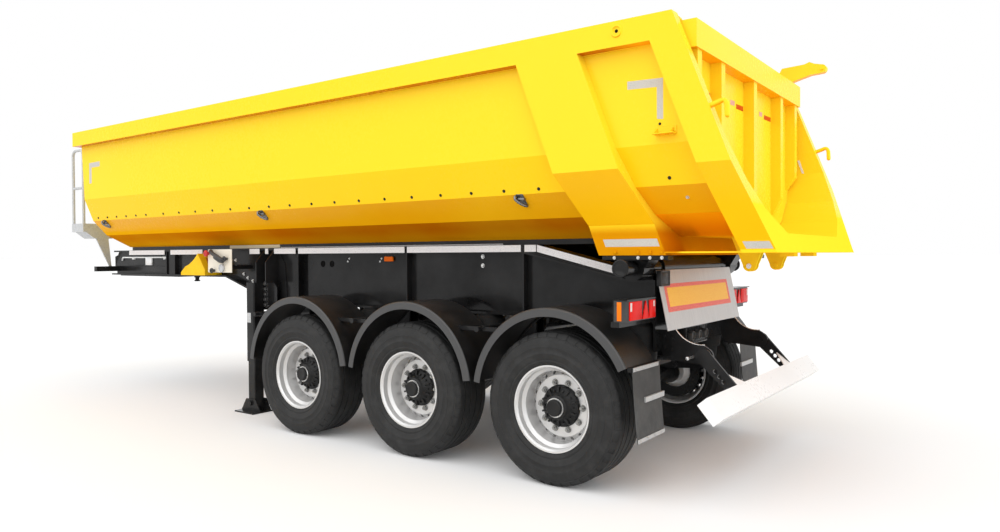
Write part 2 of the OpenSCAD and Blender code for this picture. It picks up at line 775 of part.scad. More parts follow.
module control_panel() {
  panel_y = beam_y + 260;
  panel_xs = [neck_end_x - 25, neck_end_x + 390];
  panel_zs = [beam_top_z - 245, beam_top_z - 5];
  panel_t = 4;
  arm = 40;
  arm_z = beam_top_z - 210;
  color("white") {
    block([panel_xs[0], -panel_y - panel_t, panel_zs[0]], [panel_xs[1], -panel_y, panel_zs[1]]);
    for (x = [panel_xs[0] + 10, panel_xs[1] - 10 - arm])
      block([x, -panel_y, arm_z], [x + arm, -web_out_y, arm_z + arm]);
  }
}

// Wedge with a hollow face for the tyre, stowed on the gooseneck's lower flange
module wheel_chocks() {
  heel_x = neck_end_x - 175;
  toe_x = heel_x - 455;
  foot_z = neck_bottom_z + flange_t + rest_gap;
  chock_h = 235;
  chock_w = 200;
  hollow_r = tyre_d / 2;
  color(chock_yellow) mirror([0, 1, 0]) difference() {
    side_plate([
      [toe_x, foot_z], [heel_x, foot_z], [heel_x, foot_z + 60], [heel_x - 130, foot_z + chock_h],
      [heel_x - 190, foot_z + chock_h], [toe_x, foot_z + 30]], web_out_y + rest_gap, chock_w);
    bar_y(toe_x - 55, foot_z + chock_h + 365, 2 * hollow_r, web_out_y - through, web_out_y + chock_w + 2);
  }
}

// Service platform with its side railing, carried by a tapered strut from the nose
module platform() {
  y0 = -1000;
  deck_w = 560;
  deck_z = 1905;
  deck_t = 20;
  pan_h = 100;
  toe = [8, 83];
  railing_z = 2915;
  mid_z = 2428;
  bend = 70;
  r = railing_d / 2;
  xs = [platform_x + r, platform_x + platform_d - r];
  color(silver) {
    block([platform_x, y0, deck_z - deck_t], [strut_x, y0 + deck_w, deck_z]);
    block([platform_x, y0, deck_z], [strut_x, y0 + toe[0], deck_z + toe[1]]);
    block([strut_x - toe[0], y0, deck_z], [strut_x, y0 + deck_w, deck_z + toe[1]]);
    // Sloping pan under the deck
    cross_profile([
      [y0 + 30, deck_z - deck_t], [y0 + 360, deck_z - deck_t], [y0 + 360, deck_z - pan_h],
      [y0 + 140, deck_z - pan_h]], platform_x + 20, strut_x);
    // Railing hoop with its middle bar
    for (x = xs) translate([x, y0 + r, deck_z]) cylinder(d = railing_d, h = railing_z - bend - r - deck_z);
    for (side = [0, 1])
      translate([xs[side] + (side == 0 ? bend : -bend), y0 + r, railing_z - bend - r]) rotate([90, 0, 0])
        rotate([0, 0, side == 0 ? 90 : 0])
          rotate_extrude(angle = 90) translate([bend, 0]) circle(d = railing_d);
    for (bar = [[railing_z - r, bend], [mid_z, 0]])
      translate([xs[0] + bar[1], y0 + r, bar[0]]) rotate([0, 90, 0])
        cylinder(d = railing_d, h = xs[1] - xs[0] - 2 * bar[1]);
    // Tapered strut down to the bar on the nose
    cross_profile([
      [y0 + 120, deck_z - deck_t], [y0 + 300, deck_z - deck_t], [-web_out_y - 10, side_bar_top_z],
      [-web_out_y - side_bar_t, side_bar_top_z]], strut_x - strut_t, strut_x);
  }
}

// Two cheeks and a cross box on the nose that hold the cylinder's foot
module cylinder_cradle() {
  cheek_y = 112;
  cheek_t = 20;
  box_x = nose_x + 145;
  box_t = 40;
  low_z = neck_bottom_z + 20;
  high_z = beam_top_z - 40;
  reach = 70;
  color(black) difference() {
    union() {
      block([box_x, -web_in_y, low_z], [box_x + box_t, web_in_y, high_z]);
      for (y = [-cheek_y - cheek_t, cheek_y])
        side_plate([
          [box_x, low_z], [box_x, high_z], [ram_x - 20, ram_foot_z + reach], [ram_x - reach, ram_foot_z],
          [ram_x - 20, ram_foot_z - reach]], y, cheek_t);
    }
    bar_y(ram_x, ram_foot_z, ram_pin_d + 2 * pin_gap, -cheek_y - 2 * cheek_t, cheek_y + 2 * cheek_t);
  }
}

// A long profile of the tub, trimmed to the leaning front wall and rear end
module between_ends(points, low_z, high_z) {
  spare = 50;
  front_gap = tub_t + rest_gap;
  intersection() {
    cross_profile(points, front_x - spare, rear_x + spare);
    side_plate([
      [front_edge_x(low_z) + front_gap, low_z], [rear_edge_x(low_z), low_z],
      [rear_edge_x(high_z), high_z], [front_edge_x(high_z) + front_gap, high_z]],
      -wall_y - spare, tub_w + 2 * spare);
  }
}

module tub_trough() {
  color(yellow) between_ends(concat(trough_outer, reversed(trough_inner)), floor_z - 20, wall_joint_z);
}

module tub_walls() {
  color(yellow) both_sides()
    between_ends([
      [wall_y - tub_t, wall_joint_z], [wall_y, wall_joint_z], [wall_y, rail_bottom_z],
      [wall_y - tub_t, rail_bottom_z]], wall_joint_z, rail_bottom_z);
}

// Leaning front wall with its head beam and upright stiffening ribs
module tub_front() {
  outline = concat(trough_outer, [[wall_y, rail_bottom_z], [-wall_y, rail_bottom_z]]);
  rib_d = 45;
  rib_w = 60;
  rib_low_z = bend_3[1] + 40;
  color(yellow) {
    intersection() {
      cross_profile(outline, front_x - head_d, front_x + front_lean + head_d);
      side_plate([
        [front_edge_x(floor_z), floor_z], [front_edge_x(floor_z) + tub_t, floor_z],
        [front_x + tub_t, rail_bottom_z], [front_x, rail_bottom_z]], -wall_y, tub_w);
    }
    block([front_x - head_d, -wall_y + tub_t, rail_bottom_z], [front_x + 38, wall_y - tub_t, rail_top_z]);
    both_sides() for (y = [450, 800])
      side_plate([
        [front_edge_x(rib_low_z), rib_low_z], [front_edge_x(rib_low_z + 60) - rib_d, rib_low_z + 60],
        [front_x - rib_d, rail_bottom_z], [front_x, rail_bottom_z]], y, rib_w);
  }
}

// Box rails along the tub, with the tailgate's hinge pins at their rear ends
module top_rails() {
  color(yellow) both_sides() {
    side_plate([
      [front_x - head_d, rail_bottom_z], [rear_edge_x(rail_bottom_z), rail_bottom_z],
      [rear_edge_x(rail_top_z), rail_top_z], [front_x - head_d, rail_top_z]],
      wall_y - tub_t, rail_out + tub_t);
    bar_y(gate_hinge_x, gate_hinge_z, gate_pin_d, gate_ear_y - 10, wall_y - tub_t / 2);
  }
}

// Stay arm on the right-hand rail that reaches out behind the tailgate
module gate_arm() {
  arm_t = 60;
  arm_y = wall_y + 5;
  foot_xs = [gate_x - 135, rear_edge_x(rail_top_z)];
  tip = [gate_x + 265, rail_top_z + 95];
  tip_d = 70;
  crown = [gate_x + 165, rail_top_z + 165];
  pin = [24, 12];
  color(yellow) {
    side_plate([
      [foot_xs[0], rail_top_z], [foot_xs[1], rail_top_z], [gate_x + 60, rail_top_z + 25],
      [gate_x + 175, rail_top_z + 55], tip - [0, tip_d / 2], tip + [0, tip_d / 2], crown + [40, -20], crown,
      crown - [40, 15], [gate_x - 60, rail_top_z + 140]], arm_y, arm_t);
    bar_y(tip[0], tip[1], tip_d, arm_y, arm_y + arm_t);
    bar_y(tip[0], tip[1], pin[0], arm_y - pin[1], arm_y + arm_t + pin[1]);
  }
}

// The box outside the tub's shell that makes a rib or a post, with an upright skirt at its foot
module outer_box(x0, z0, length, foot_y, foot_z, skirt) {
  lean_run = rear_slope * (rail_top_z - foot_z);
  outline = [
    [wall_y, rail_bottom_z], [rail_y, rail_bottom_z], [rail_y, rib_kink_z], [foot_y, foot_z + skirt],
    [foot_y, foot_z], [floor_edge[0], foot_z], floor_edge, bend_3, bend_2, [wall_y, bend_1_z]];
  intersection() {
    cross_profile(outline, x0 - lean_run, x0 + length + lean_run);
    side_plate([
      [slant_x(x0, z0, foot_z), foot_z], [slant_x(x0 + length, z0, foot_z), foot_z],
      [slant_x(x0 + length, z0, rail_bottom_z), rail_bottom_z],
      [slant_x(x0, z0, rail_bottom_z), rail_bottom_z]], 0, rail_y);
  }
}

module side_ribs() {
  color(yellow) both_sides() outer_box(rib_x, rail_bottom_z, rib_len, rib_foot_y, rib_foot_z, rib_skirt_h);
}

module rear_posts() {
  color(yellow) both_sides()
    outer_box(rear_x - post_len, sill_z, post_len, post_foot_y, sill_z, post_skirt_h);
}

// Cross boxes between the ribs' feet and between the posts' feet, and the shelf plates that join them
module tub_sills() {
  // columns: front edge at the base height, base height, length, foot height
  rows = [[rib_x, rail_bottom_z, rib_len, rib_foot_z], [rear_x - post_len, sill_z, post_len, sill_z]];
  shelf_zs = [sill_z, sill_z + shelf_t];
  color(yellow) {
    for (r = rows)
      side_plate([
        [slant_x(r[0], r[1], r[3]), r[3]], [slant_x(r[0] + r[2], r[1], r[3]), r[3]],
        [slant_x(r[0] + r[2], r[1], floor_z), floor_z], [slant_x(r[0], r[1], floor_z), floor_z]],
        -floor_edge[0], floor_w);
    both_sides()
      side_plate([
        for (z = shelf_zs) [rib_edge_x(rib_len, z) + rest_gap, z],
        for (z = reversed(shelf_zs)) [rear_edge_x(z) - post_len - rest_gap, z]],
        floor_edge[0] + rest_gap, rib_foot_y - floor_edge[0] - rest_gap);
  }
}

module floor_runners() {
  runner_w = 70;
  start_x = front_x + front_lean + 40;
  end_x = rib_edge_x(0, floor_z);
  color(black) both_sides()
    block([start_x, beam_y - runner_w / 2, beam_top_z + rest_gap], [end_x, beam_y + runner_w / 2, floor_z]);
}

// Ears under the ribs that turn on the hinge pins
module hinge_ears() {
  y0 = beam_out_y + 55;
  ear_w = 150;
  ear_run = 140;
  color(black) both_sides() difference() {
    union() {
      side_plate([
        [pivot_x - ear_run, rib_foot_z], [pivot_x - ear_r, pivot_z], [pivot_x + ear_r, pivot_z],
        [pivot_x + ear_run, rib_foot_z]], y0, ear_w);
      bar_y(pivot_x, pivot_z, 2 * ear_r, y0, y0 + ear_w);
    }
    bar_y(pivot_x, pivot_z, pivot_d + 2 * pin_gap, y0 - through, y0 + ear_w + through);
  }
}

// Lugs under the floor that the tailgate's claws hook on, and stop pads under the rear sill
module lock_lugs() {
  lug_x = gate_x + 148;
  lug_y = 312;
  lug_z = sill_z - 83;
  lug_r = 45;
  lug_top = 125;
  cheek_t = 18;
  cheek_gap = 30;
  lug_pin_d = 30;
  lug_pin_len = 90;
  pad = [90, 100, 26];
  pad_x = rear_x - 152;
  pad_y = 262;
  color(yellow) both_sides() {
    for (dy = [-cheek_gap / 2 - cheek_t, cheek_gap / 2]) {
      side_plate([
        [lug_x - lug_top, floor_z], [lug_x - lug_r, lug_z], [lug_x + lug_r, lug_z],
        [lug_x + lug_top, floor_z]],
        lug_y + dy, cheek_t);
      bar_y(lug_x, lug_z, 2 * lug_r, lug_y + dy, lug_y + dy + cheek_t);
    }
    bar_y(lug_x, lug_z - 8, lug_pin_d, lug_y - lug_pin_len / 2, lug_y + lug_pin_len / 2);
    translate([pad_x - pad[0] / 2, pad_y - pad[1] / 2, sill_z - pad[2]]) cube(pad);
  }
}

// Ears on the front wall's head that take the cylinder's eye
module cylinder_bracket() {
  ear_y = 62;
  ear_t = 25;
  wall_x = front_x - head_d;
  color(yellow) both_sides()
    side_plate([
      [wall_x, rail_top_z], [wall_x, rail_bottom_z], [ram_x + 40, ram_eye_z - 75],
      [ram_x - 70, ram_eye_z - 60], [ram_x - 70, ram_eye_z + 60]], ear_y, ear_t);
}

module tailgate_plate() {
  inner = parallel(trough_outer, -tub_t - gate_gap);
  color(yellow)
    cross_profile(
      concat(inner, [[gate_half, gate_top_z], [-gate_half, gate_top_z]]), gate_x, gate_x + tub_t);
}

// Top beam, tapered ribs and hinge ears of the tailgate
module tailgate_frame() {
  x0 = gate_x + tub_t;
  beam_z = gate_top_z - gate_beam_h;
  rib_d = gate_rib_d * 0.85;
  // columns: place across, width, foot height, taper above the foot
  ribs = [
    [0, gate_rib_w, floor_z + 110, 150], [675, gate_rib_w, bend_3[1] + 30, 150],
    [gate_half - 87, gate_rib_w, bend_2[1] + 110, 100]];
  color(yellow) {
    block([x0, -gate_half, beam_z], [x0 + gate_rib_d, gate_half, gate_top_z]);
    for (r = ribs, side = r[0] == 0 ? [1] : [-1, 1])
      side_plate([
        [x0, beam_z], [x0, r[2]], [x0 + rib_d, r[2] + r[3]], [x0 + rib_d, beam_z]],
        side * r[0] - r[1] / 2, r[1]);
    both_sides() difference() {
      union() {
        side_plate([
          [gate_hinge_x, gate_hinge_z - gate_ear_r], [x0, gate_hinge_z - gate_ear_r - 30],
          [x0, gate_top_z], [gate_hinge_x, gate_hinge_z + gate_ear_r]], gate_ear_y, gate_ear_t);
        bar_y(gate_hinge_x, gate_hinge_z, 2 * gate_ear_r, gate_ear_y, gate_ear_y + gate_ear_t);
      }
      bar_y(gate_hinge_x, gate_hinge_z, gate_pin_d + 2 * pin_gap, gate_ear_y - through, gate_half + through);
      // The plate in front of the frame stays whole
      cross_profile(
        [[0, floor_z], [wall_y, floor_z], [wall_y, gate_top_z], [0, gate_top_z]], gate_x - rest_gap, x0);
    }
  }
}

// The cylinder's barrel and stages, nested inside each other when closed
function stage_d(i) = ram_d - 2 * i * (ram_stage_wall + ram_stage_gap);

module ram_barrel() {
  boss = [130, 100];
  neck_d = 120;
  pin_end = 140;
  base_t = 40;
  color(black) difference() {
    union() {
      translate([ram_x, 0, stage_foot_z - base_t])
        cylinder(d = ram_d, h = barrel_top_z - stage_foot_z + base_t);
      bar_y(ram_x, ram_foot_z, boss[0], -boss[1], boss[1]);
      translate([ram_x, 0, ram_foot_z]) cylinder(d = neck_d, h = stage_foot_z - ram_foot_z);
      bar_y(ram_x, ram_foot_z, ram_pin_d, -pin_end, pin_end);
    }
    translate([ram_x, 0, stage_foot_z])
      cylinder(d = ram_d - 2 * ram_stage_wall, h = barrel_top_z - stage_foot_z + through);
  }
}

module ram_stage(i) {
  foot = stage_foot_z + rest_gap;
  top = barrel_top_z + i * stage_step;
  last = i == stage_count;
  neck_d = 70;
  eye = [110, 50];
  color(silver) difference() {
    union() {
      translate([ram_x, 0, foot]) cylinder(d = stage_d(i), h = top - foot);
      if (last) {
        translate([ram_x, 0, top]) cylinder(d = neck_d, h = ram_eye_z - top);
        bar_y(ram_x, ram_eye_z, eye[0], -eye[1], eye[1]);
      }
    }
    if (!last)
      translate([ram_x, 0, foot - through])
        cylinder(d = stage_d(i) - 2 * ram_stage_wall, h = top - foot + 2 * through);
  }
}

// Wheel profiles: first number the radius, second the place across the tyre, outwards positive
module turned(x, side, points) {
  translate([x, side * wheel_y, axle_z]) rotate([-90 * side, 0, 0])
    rotate_extrude($fn = 128) polygon(points);
}

function across(p) = [for (q = p) [q[0], -q[1]]];

module tyre(x, side) {
  r = tyre_d / 2;
  bead = rim_d / 2 + 0.5;
  half = tyre_w / 2;
  wall = 22;
  seat = rim_w / 2 - 17;
  outer = [
    [bead, seat], [bead + 12, seat + 5.5], [bead + 16, seat + 18], [bead + 34, seat + 30],
    [bead + 62, half - 5], [bead + 95, half], [r - 105, half], [r - 62, half - 7],
    [r - 34, half - 17], [r - 12, half - 32], [r - 3, half - 42], [r, half - 55]];
  inner = [
    [bead, seat - 32], [bead + 40, half - wall - 26], [bead + 95, half - wall], [r - 95, half - wall],
    [r - 45, half - wall - 30]];
  color(rubber) turned(x, side,
    concat(outer, reversed(across(outer)), across(inner), reversed(inner)));
}

// Disc wheel on its hub: stepped rim, flat disc with hand holes, hub with a round cap
module wheel(x, side) {
  half = rim_w / 2;
  seat = rim_d / 2;
  lip = seat + 12;
  t = 11;
  well = seat - 24;
  disc = 15;
  disc_t = 12;
  disc_r = well - t - 37;
  hub_r = 140;
  bore_r = spindle_d / 2 + 0.5;
  hub_back = hub_inner_y - wheel_y;
  bore_end = spindle_end_y + 5 - wheel_y;
  cap_r = 57;
  cap_end = 132;
  hole_d = 24;
  hole_r = disc_r + hole_d / 2 + 6;
  profile = [
    [lip, half], [lip, half - 10], [seat, half - 16], [seat - 2, half - 52], [well, half - 72],
    [well, -half + 92], [seat - 2, -half + 62], [seat, -half + 16], [lip, -half + 10], [lip, -half],
    [lip - t, -half], [seat - t, -half + 14], [seat - t - 2, -half + 58], [well - t, -half + 88],
    [well - t, disc - 62], [disc_r, disc - disc_t], [hub_r + 10, disc - disc_t], [hub_r + 10, hub_back + 60],
    [hub_r - 30, hub_back], [bore_r, hub_back], [bore_r, bore_end], [0, bore_end], [0, cap_end],
    [cap_r - 5, cap_end], [cap_r, cap_end - 6], [cap_r, 100], [cap_r + 21, 92], [cap_r + 41, 60],
    [hub_r - 12, 45], [hub_r, 34], [hub_r, disc], [disc_r, disc], [well - t, disc - 34],
    [well - t, half - 76], [seat - t - 2, half - 56], [seat - t, half - 14], [lip - t, half]];
  color(silver) difference() {
    turned(x, side, profile);
    for (i = [0:hand_holes - 1])
      translate([x, side * (wheel_y + disc), axle_z]) rotate([0, 360 * i / hand_holes, 0])
        translate([hole_r, 0, 0]) rotate([90, 0, 0]) cylinder(d = hole_d, h = 8 * disc_t, center = true);
  }
}

main_beams();
crossmembers();
coupling_plate();
kingpin();
landing_legs();
landing_feet();
axle_beams();
suspension_hangers();
trailing_arms();
shock_absorbers();
air_springs();
mudguards_left();
mudguards_right();
mudguard_stays();
mud_flaps();
tail_lamps();
lamp_carriers();
sign_board();
pivot_bearings();
underrun_brackets();
air_tanks();
control_panel();
wheel_chocks();
platform();
cylinder_cradle();
tub_trough();
tub_walls();
tub_front();
top_rails();
side_ribs();
rear_posts();
tub_sills();
floor_runners();
hinge_ears();
lock_lugs();
cylinder_bracket();
gate_arm();
tailgate_plate();
tailgate_frame();
underrun_arms();
underrun_bar();
ram_barrel();
for (i = [1:stage_count])
  ram_stage(i);
for (i = [0:2]) {
  tyre(axle_xs[i], -1);
  tyre(axle_xs[i], 1);
  wheel(axle_xs[i], -1);
  wheel(axle_xs[i], 1);
}
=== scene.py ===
import json
import math

import bmesh
import bpy
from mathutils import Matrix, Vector


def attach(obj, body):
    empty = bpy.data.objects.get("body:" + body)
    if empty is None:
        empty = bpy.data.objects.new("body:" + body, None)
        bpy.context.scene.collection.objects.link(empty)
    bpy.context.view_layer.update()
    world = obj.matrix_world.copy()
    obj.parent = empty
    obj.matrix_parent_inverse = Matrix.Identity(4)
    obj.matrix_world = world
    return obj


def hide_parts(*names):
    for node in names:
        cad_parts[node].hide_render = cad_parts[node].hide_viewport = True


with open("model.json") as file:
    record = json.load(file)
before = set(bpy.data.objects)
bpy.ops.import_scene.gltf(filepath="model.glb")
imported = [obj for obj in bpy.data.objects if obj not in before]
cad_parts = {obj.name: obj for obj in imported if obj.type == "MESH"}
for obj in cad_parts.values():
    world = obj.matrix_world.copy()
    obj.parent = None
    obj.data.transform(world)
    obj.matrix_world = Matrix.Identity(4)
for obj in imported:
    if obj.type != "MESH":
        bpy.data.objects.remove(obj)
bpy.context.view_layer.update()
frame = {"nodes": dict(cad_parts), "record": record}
bpy.ops.object.select_all(action="DESELECT")
print("frame loaded,", len(frame["nodes"]), "nodes")

# Shader helpers

white = (1, 1, 1, 1)
specular = "Specular IOR Level"


def grey(level):
    return (level, level, level)


def isSocket(value):
    return hasattr(value, "is_linked")


def addNode(tree, kind, inputs=None, **settings):
    node = tree.nodes.new("ShaderNode" + kind)
    for key, value in settings.items():
        setattr(node, key, value)
    for key, value in (inputs or {}).items():
        if isSocket(value):
            tree.links.new(value, node.inputs[key])
        else:
            node.inputs[key].default_value = value
    return node


def feed(tree, sockets, values):
    for key, value in values.items():
        tree.links.new(value, sockets[key])


def mathOf(tree, operation, first, second=0.0):
    return addNode(tree, "Math", {0: first, 1: second}, operation=operation).outputs[0]


def ranged(tree, value, low, high, toLow=0.0, toHigh=1.0, kind="LINEAR"):
    return addNode(tree, "MapRange", {
        "Value": value, "From Min": low, "From Max": high, "To Min": toLow, "To Max": toHigh},
        interpolation_type=kind).outputs["Result"]


def noise(tree, place, scale, detail, rough=0.5):
    return addNode(tree, "TexNoise", {
        "Vector": place, "Scale": scale, "Detail": detail, "Roughness": rough}).outputs["Fac"]


def objectPlace(tree):
    return addNode(tree, "TexCoord").outputs["Object"]


def partsOf(tree, vector):
    return addNode(tree, "SeparateXYZ", {"Vector": vector}).outputs


def mixColor(tree, factor, first, second):
    first, second = (color if isSocket(color) else (*color, 1) for color in (first, second))
    return addNode(tree, "Mix", {0: factor, 6: first, 7: second}, data_type="RGBA").outputs[2]


def newMaterial(name, plain):
    made = bpy.data.materials.new(name)
    made.use_nodes = True
    shader = made.node_tree.nodes["Principled BSDF"]
    for key, value in plain.items():
        shader.inputs[key].default_value = value
    return made, made.node_tree, shader


# Camera, light and floor

view = {"place": (5.581, -5.528, 1.571), "turn": (89.17, 0.28, 35.86), "lens": 27.1, "sensor": 36.0, "far": 2000}
studio = {"worldLight": 0.60, "white": 1.0, "floorSize": 900.0, "floorColor": (0.92, 0.92, 0.92), "floorGlow": 0.03}
# name, strength, softness in degrees, turn in degrees
suns = (("key", 1.4, 75, (46, 0, -20)), ("rearFill", 1.35, 85, (58, 0, 75)), ("frontFill", 0.3, 90, (55, 0, -120)))


def inRadians(turn):
    return [math.radians(angle) for angle in turn]


bpy.context.scene.view_settings.view_transform = "Standard"
bpy.ops.object.camera_add(location=view["place"], rotation=inRadians(view["turn"]))
camera = bpy.context.object
camera.data.lens = view["lens"]
camera.data.sensor_width = view["sensor"]
camera.data.clip_end = view["far"]
bpy.context.scene.camera = camera

for name, strength, softness, turn in suns:
    bpy.ops.object.light_add(type="SUN", rotation=inRadians(turn))
    bpy.context.object.name = name
    bpy.context.object.data.energy = strength
    bpy.context.object.data.angle = math.radians(softness)


def seenDirectly(tree):
    # 1 for camera, glossy and transmission rays
    path = addNode(tree, "LightPath").outputs
    first = mathOf(tree, "MAXIMUM", path["Is Camera Ray"], path["Is Glossy Ray"])
    return mathOf(tree, "MAXIMUM", first, path["Is Transmission Ray"])


world = bpy.data.worlds.new("studioWorld")
bpy.context.scene.world = world
world.use_nodes = True
tree = world.node_tree
sky = tree.nodes["Background"].inputs
sky["Color"].default_value = white
level = ranged(tree, seenDirectly(tree), 0.0, 1.0, studio["worldLight"], studio["white"])
tree.links.new(level, sky["Strength"])

bpy.ops.mesh.primitive_plane_add(size=studio["floorSize"])
floor = bpy.context.object
floor.name = "studioFloor"
floorPaint, tree, shader = newMaterial("floorPaint", {
    "Base Color": (*studio["floorColor"], 1), "Roughness": 1.0, specular: 0.0, "Emission Color": white})
glow = mathOf(tree, "MULTIPLY", seenDirectly(tree), studio["floorGlow"])
tree.links.new(glow, shader.inputs["Emission Strength"])
floor.data.materials.append(floorPaint)
print("camera, light and floor set")

# Shader groups


def newGroup(name, inputs, outputs=("Color", "Roughness", "Height")):
    # the kind of an input follows from its value: a number, a vector or a colour
    group = bpy.data.node_groups.new(name, "ShaderNodeTree")
    for label, value in inputs.items():
        kind = {3: "Vector", 4: "Color"}[len(value)] if isinstance(value, tuple) else "Float"
        socket = group.interface.new_socket(label, in_out="INPUT", socket_type="NodeSocket" + kind)
        socket.default_value = value
    for label in outputs:
        kind = "Color" if label == "Color" else "Float"
        group.interface.new_socket(label, in_out="OUTPUT", socket_type="NodeSocket" + kind)
    return group, group.nodes.new("NodeGroupInput").outputs, group.nodes.new("NodeGroupOutput").inputs


def makePaintGroup():
    # sprayed paint: broad colour drift, soft roughness clouds and a fine peel
    group, start, end = newGroup("sprayedPaint", {
        "Color": white, "Drift": white, "Cloud Scale": 1.3, "Peel Scale": 160.0, "Gloss": 0.25, "Dull": 0.4})
    place = objectPlace(group)
    cloud = noise(group, place, start["Cloud Scale"], 5.0)
    speck = noise(group, place, 38.0, 3.0, 0.7)
    both = mathOf(group, "MULTIPLY", cloud, speck)
    feed(group, end, {
        "Color": mixColor(group, ranged(group, cloud, 0.35, 0.68), start["Color"], start["Drift"]),
        "Roughness": ranged(group, both, 0.12, 0.4, start["Gloss"], start["Dull"]),
        "Height": noise(group, place, start["Peel Scale"], 2.0)})
    return group


def makeDustGroup():
    # road dust that thickens towards the ground
    group, start, end = newGroup("roadDust", {
        "Color": white, "Dust": (0.3, 0.28, 0.25, 1), "Top": 1.2, "Amount": 0.3}, ("Color", "Mask"))
    place = objectPlace(group)
    fall = ranged(group, partsOf(group, place)["Z"], start["Top"], 0.1)
    patchy = ranged(group, noise(group, place, 9.0, 8.0, 0.72), 0.38, 0.72)
    mask = mathOf(group, "MULTIPLY", mathOf(group, "MULTIPLY", fall, patchy), start["Amount"])
    feed(group, end, {"Color": mixColor(group, mask, start["Color"], start["Dust"]), "Mask": mask})
    return group


def makeGrainGroup():
    # moulded rubber and plastic: fine grain with paler scuffs
    group, start, end = newGroup("mouldedGrain", {
        "Color": (0, 0, 0, 1), "Scuff": (0.1, 0.1, 0.1, 1), "Grain Scale": 420.0, "Scuff Scale": 6.0,
        "Low": 0.5, "High": 0.75})
    place = objectPlace(group)
    grain = addNode(group, "TexVoronoi", {"Vector": place, "Scale": start["Grain Scale"]})
    scuff = noise(group, place, start["Scuff Scale"], 7.0, 0.68)
    feed(group, end, {
        "Color": mixColor(group, ranged(group, scuff, 0.45, 0.75), start["Color"], start["Scuff"]),
        "Roughness": ranged(group, scuff, 0.3, 0.7, start["Low"], start["High"]),
        "Height": grain.outputs["Distance"]})
    return group


def makeMetalGroup():
    # bare metal: zinc spangle or drawn lines, by how far the pattern is stretched
    group, start, end = newGroup("bareMetal", {
        "Color": (0.6, 0.6, 0.6, 1), "Shade": (0.4, 0.4, 0.4, 1), "Stretch": (1, 1, 1), "Scale": 60.0,
        "Low": 0.25, "High": 0.5})
    drawn = addNode(
        group, "VectorMath", {0: objectPlace(group), 1: start["Stretch"]}, operation="MULTIPLY").outputs[0]
    flake = addNode(group, "TexVoronoi", {"Vector": drawn, "Scale": start["Scale"]})
    tone = addNode(group, "SeparateColor", {"Color": flake.outputs["Color"]})
    haze = noise(group, drawn, 14.0, 6.0)
    both = mathOf(group, "MULTIPLY", tone.outputs["Red"], haze)
    feed(group, end, {
        "Color": mixColor(group, both, start["Color"], start["Shade"]),
        "Roughness": ranged(group, both, 0.0, 1.0, start["Low"], start["High"]), "Height": haze})
    return group


paintGroup = makePaintGroup()
dustGroup = makeDustGroup()
grainGroup = makeGrainGroup()
metalGroup = makeMetalGroup()

# Materials


def placeGroup(tree, group, values):
    node = tree.nodes.new("ShaderNodeGroup")
    node.node_tree = group
    for key, value in values.items():
        socket = node.inputs[key]
        if isSocket(value):
            tree.links.new(value, socket)
        else:
            socket.default_value = (*value, 1) if socket.type == "RGBA" else value
    return node.outputs


def dress(tree, shader, bump, height, color, roughness=None):
    # bump is the relief's strength and its depth in metres
    relief = addNode(tree, "Bump", {"Height": height, "Strength": bump[0], "Distance": bump[1]})
    feed(tree, shader.inputs, {"Base Color": color, "Normal": relief.outputs["Normal"]})
    if roughness is not None:
        tree.links.new(roughness, shader.inputs["Roughness"])


def grouped(name, group, values, plain, bump, dust=None):
    made, tree, shader = newMaterial(name, plain or {})
    node = placeGroup(tree, group, values)
    color = node["Color"]
    if dust:
        color = placeGroup(tree, dustGroup, {"Color": color, **dust})["Color"]
    dress(tree, shader, bump, node["Height"], color, node["Roughness"])
    return made


plainBump = (0.1, 0.001)


def painted(name, color, drift, rough, plain=None, bump=plainBump, dust=None, scales=(1.3, 160.0)):
    # scales of the clouds and of the peel
    return grouped(name, paintGroup, {
        "Color": color, "Drift": drift, "Gloss": rough[0], "Dull": rough[1],
        "Cloud Scale": scales[0], "Peel Scale": scales[1]}, plain, bump, dust)


def moulded(name, color, scuff, rough, plain=None, bump=plainBump, dust=None, scales=(420.0, 6.0)):
    # scales of the grain and of the scuffs
    return grouped(name, grainGroup, {
        "Color": color, "Scuff": scuff, "Low": rough[0], "High": rough[1],
        "Grain Scale": scales[0], "Scuff Scale": scales[1]}, plain, bump, dust)


def metal(name, color, shade, rough, scale, plain, bump, stretch=(1, 1, 1)):
    return grouped(name, metalGroup, {
        "Color": color, "Shade": shade, "Low": rough[0], "High": rough[1], "Scale": scale, "Stretch": stretch},
        plain, bump)


# foldShades: share of a full downward tilt of the face, then the painted shade's colour there
tubPaint = {
    "drift": (0.98, 0.67, 0.018), "driftShare": 0.25,
    "spray": {"Cloud Scale": 0.8, "Peel Scale": 110.0, "Gloss": 0.2, "Dull": 0.34},
    # painted shade: dark orange low on the skirts, ahead of the rear edge
    "skirt": (0.68, 0.26, 0.002), "skirtShadeZ": (1.79, 1.70), "skirtShadeX": (3.74, 3.70),
    # back: painted light, a paler yellow on faces that look back
    "back": (1.0, 0.79, 0.030), "backLitLean": (0.5, 0.8),
    # painted shade: dark orange on the rear faces that look down
    "rear": (1.0, 0.38, 0.002), "rearX": (3.30, 3.55), "rearLean": (0.72, 0.84),
    "shine": 0.1, "shineZ": (1.86, 2.02), "bump": (0.04, 0.001),
    "foldShades": ((0.0, (1.0, 0.69, 0.022)), (0.12, (1.0, 0.69, 0.022)), (0.33, (1.0, 0.615, 0.008)),
              (0.345, (0.98, 0.52, 0.006)), (0.60, (0.95, 0.50, 0.005)), (0.70, (0.78, 0.31, 0.002)),
              (0.88, (0.57, 0.148, 0.0005)))}


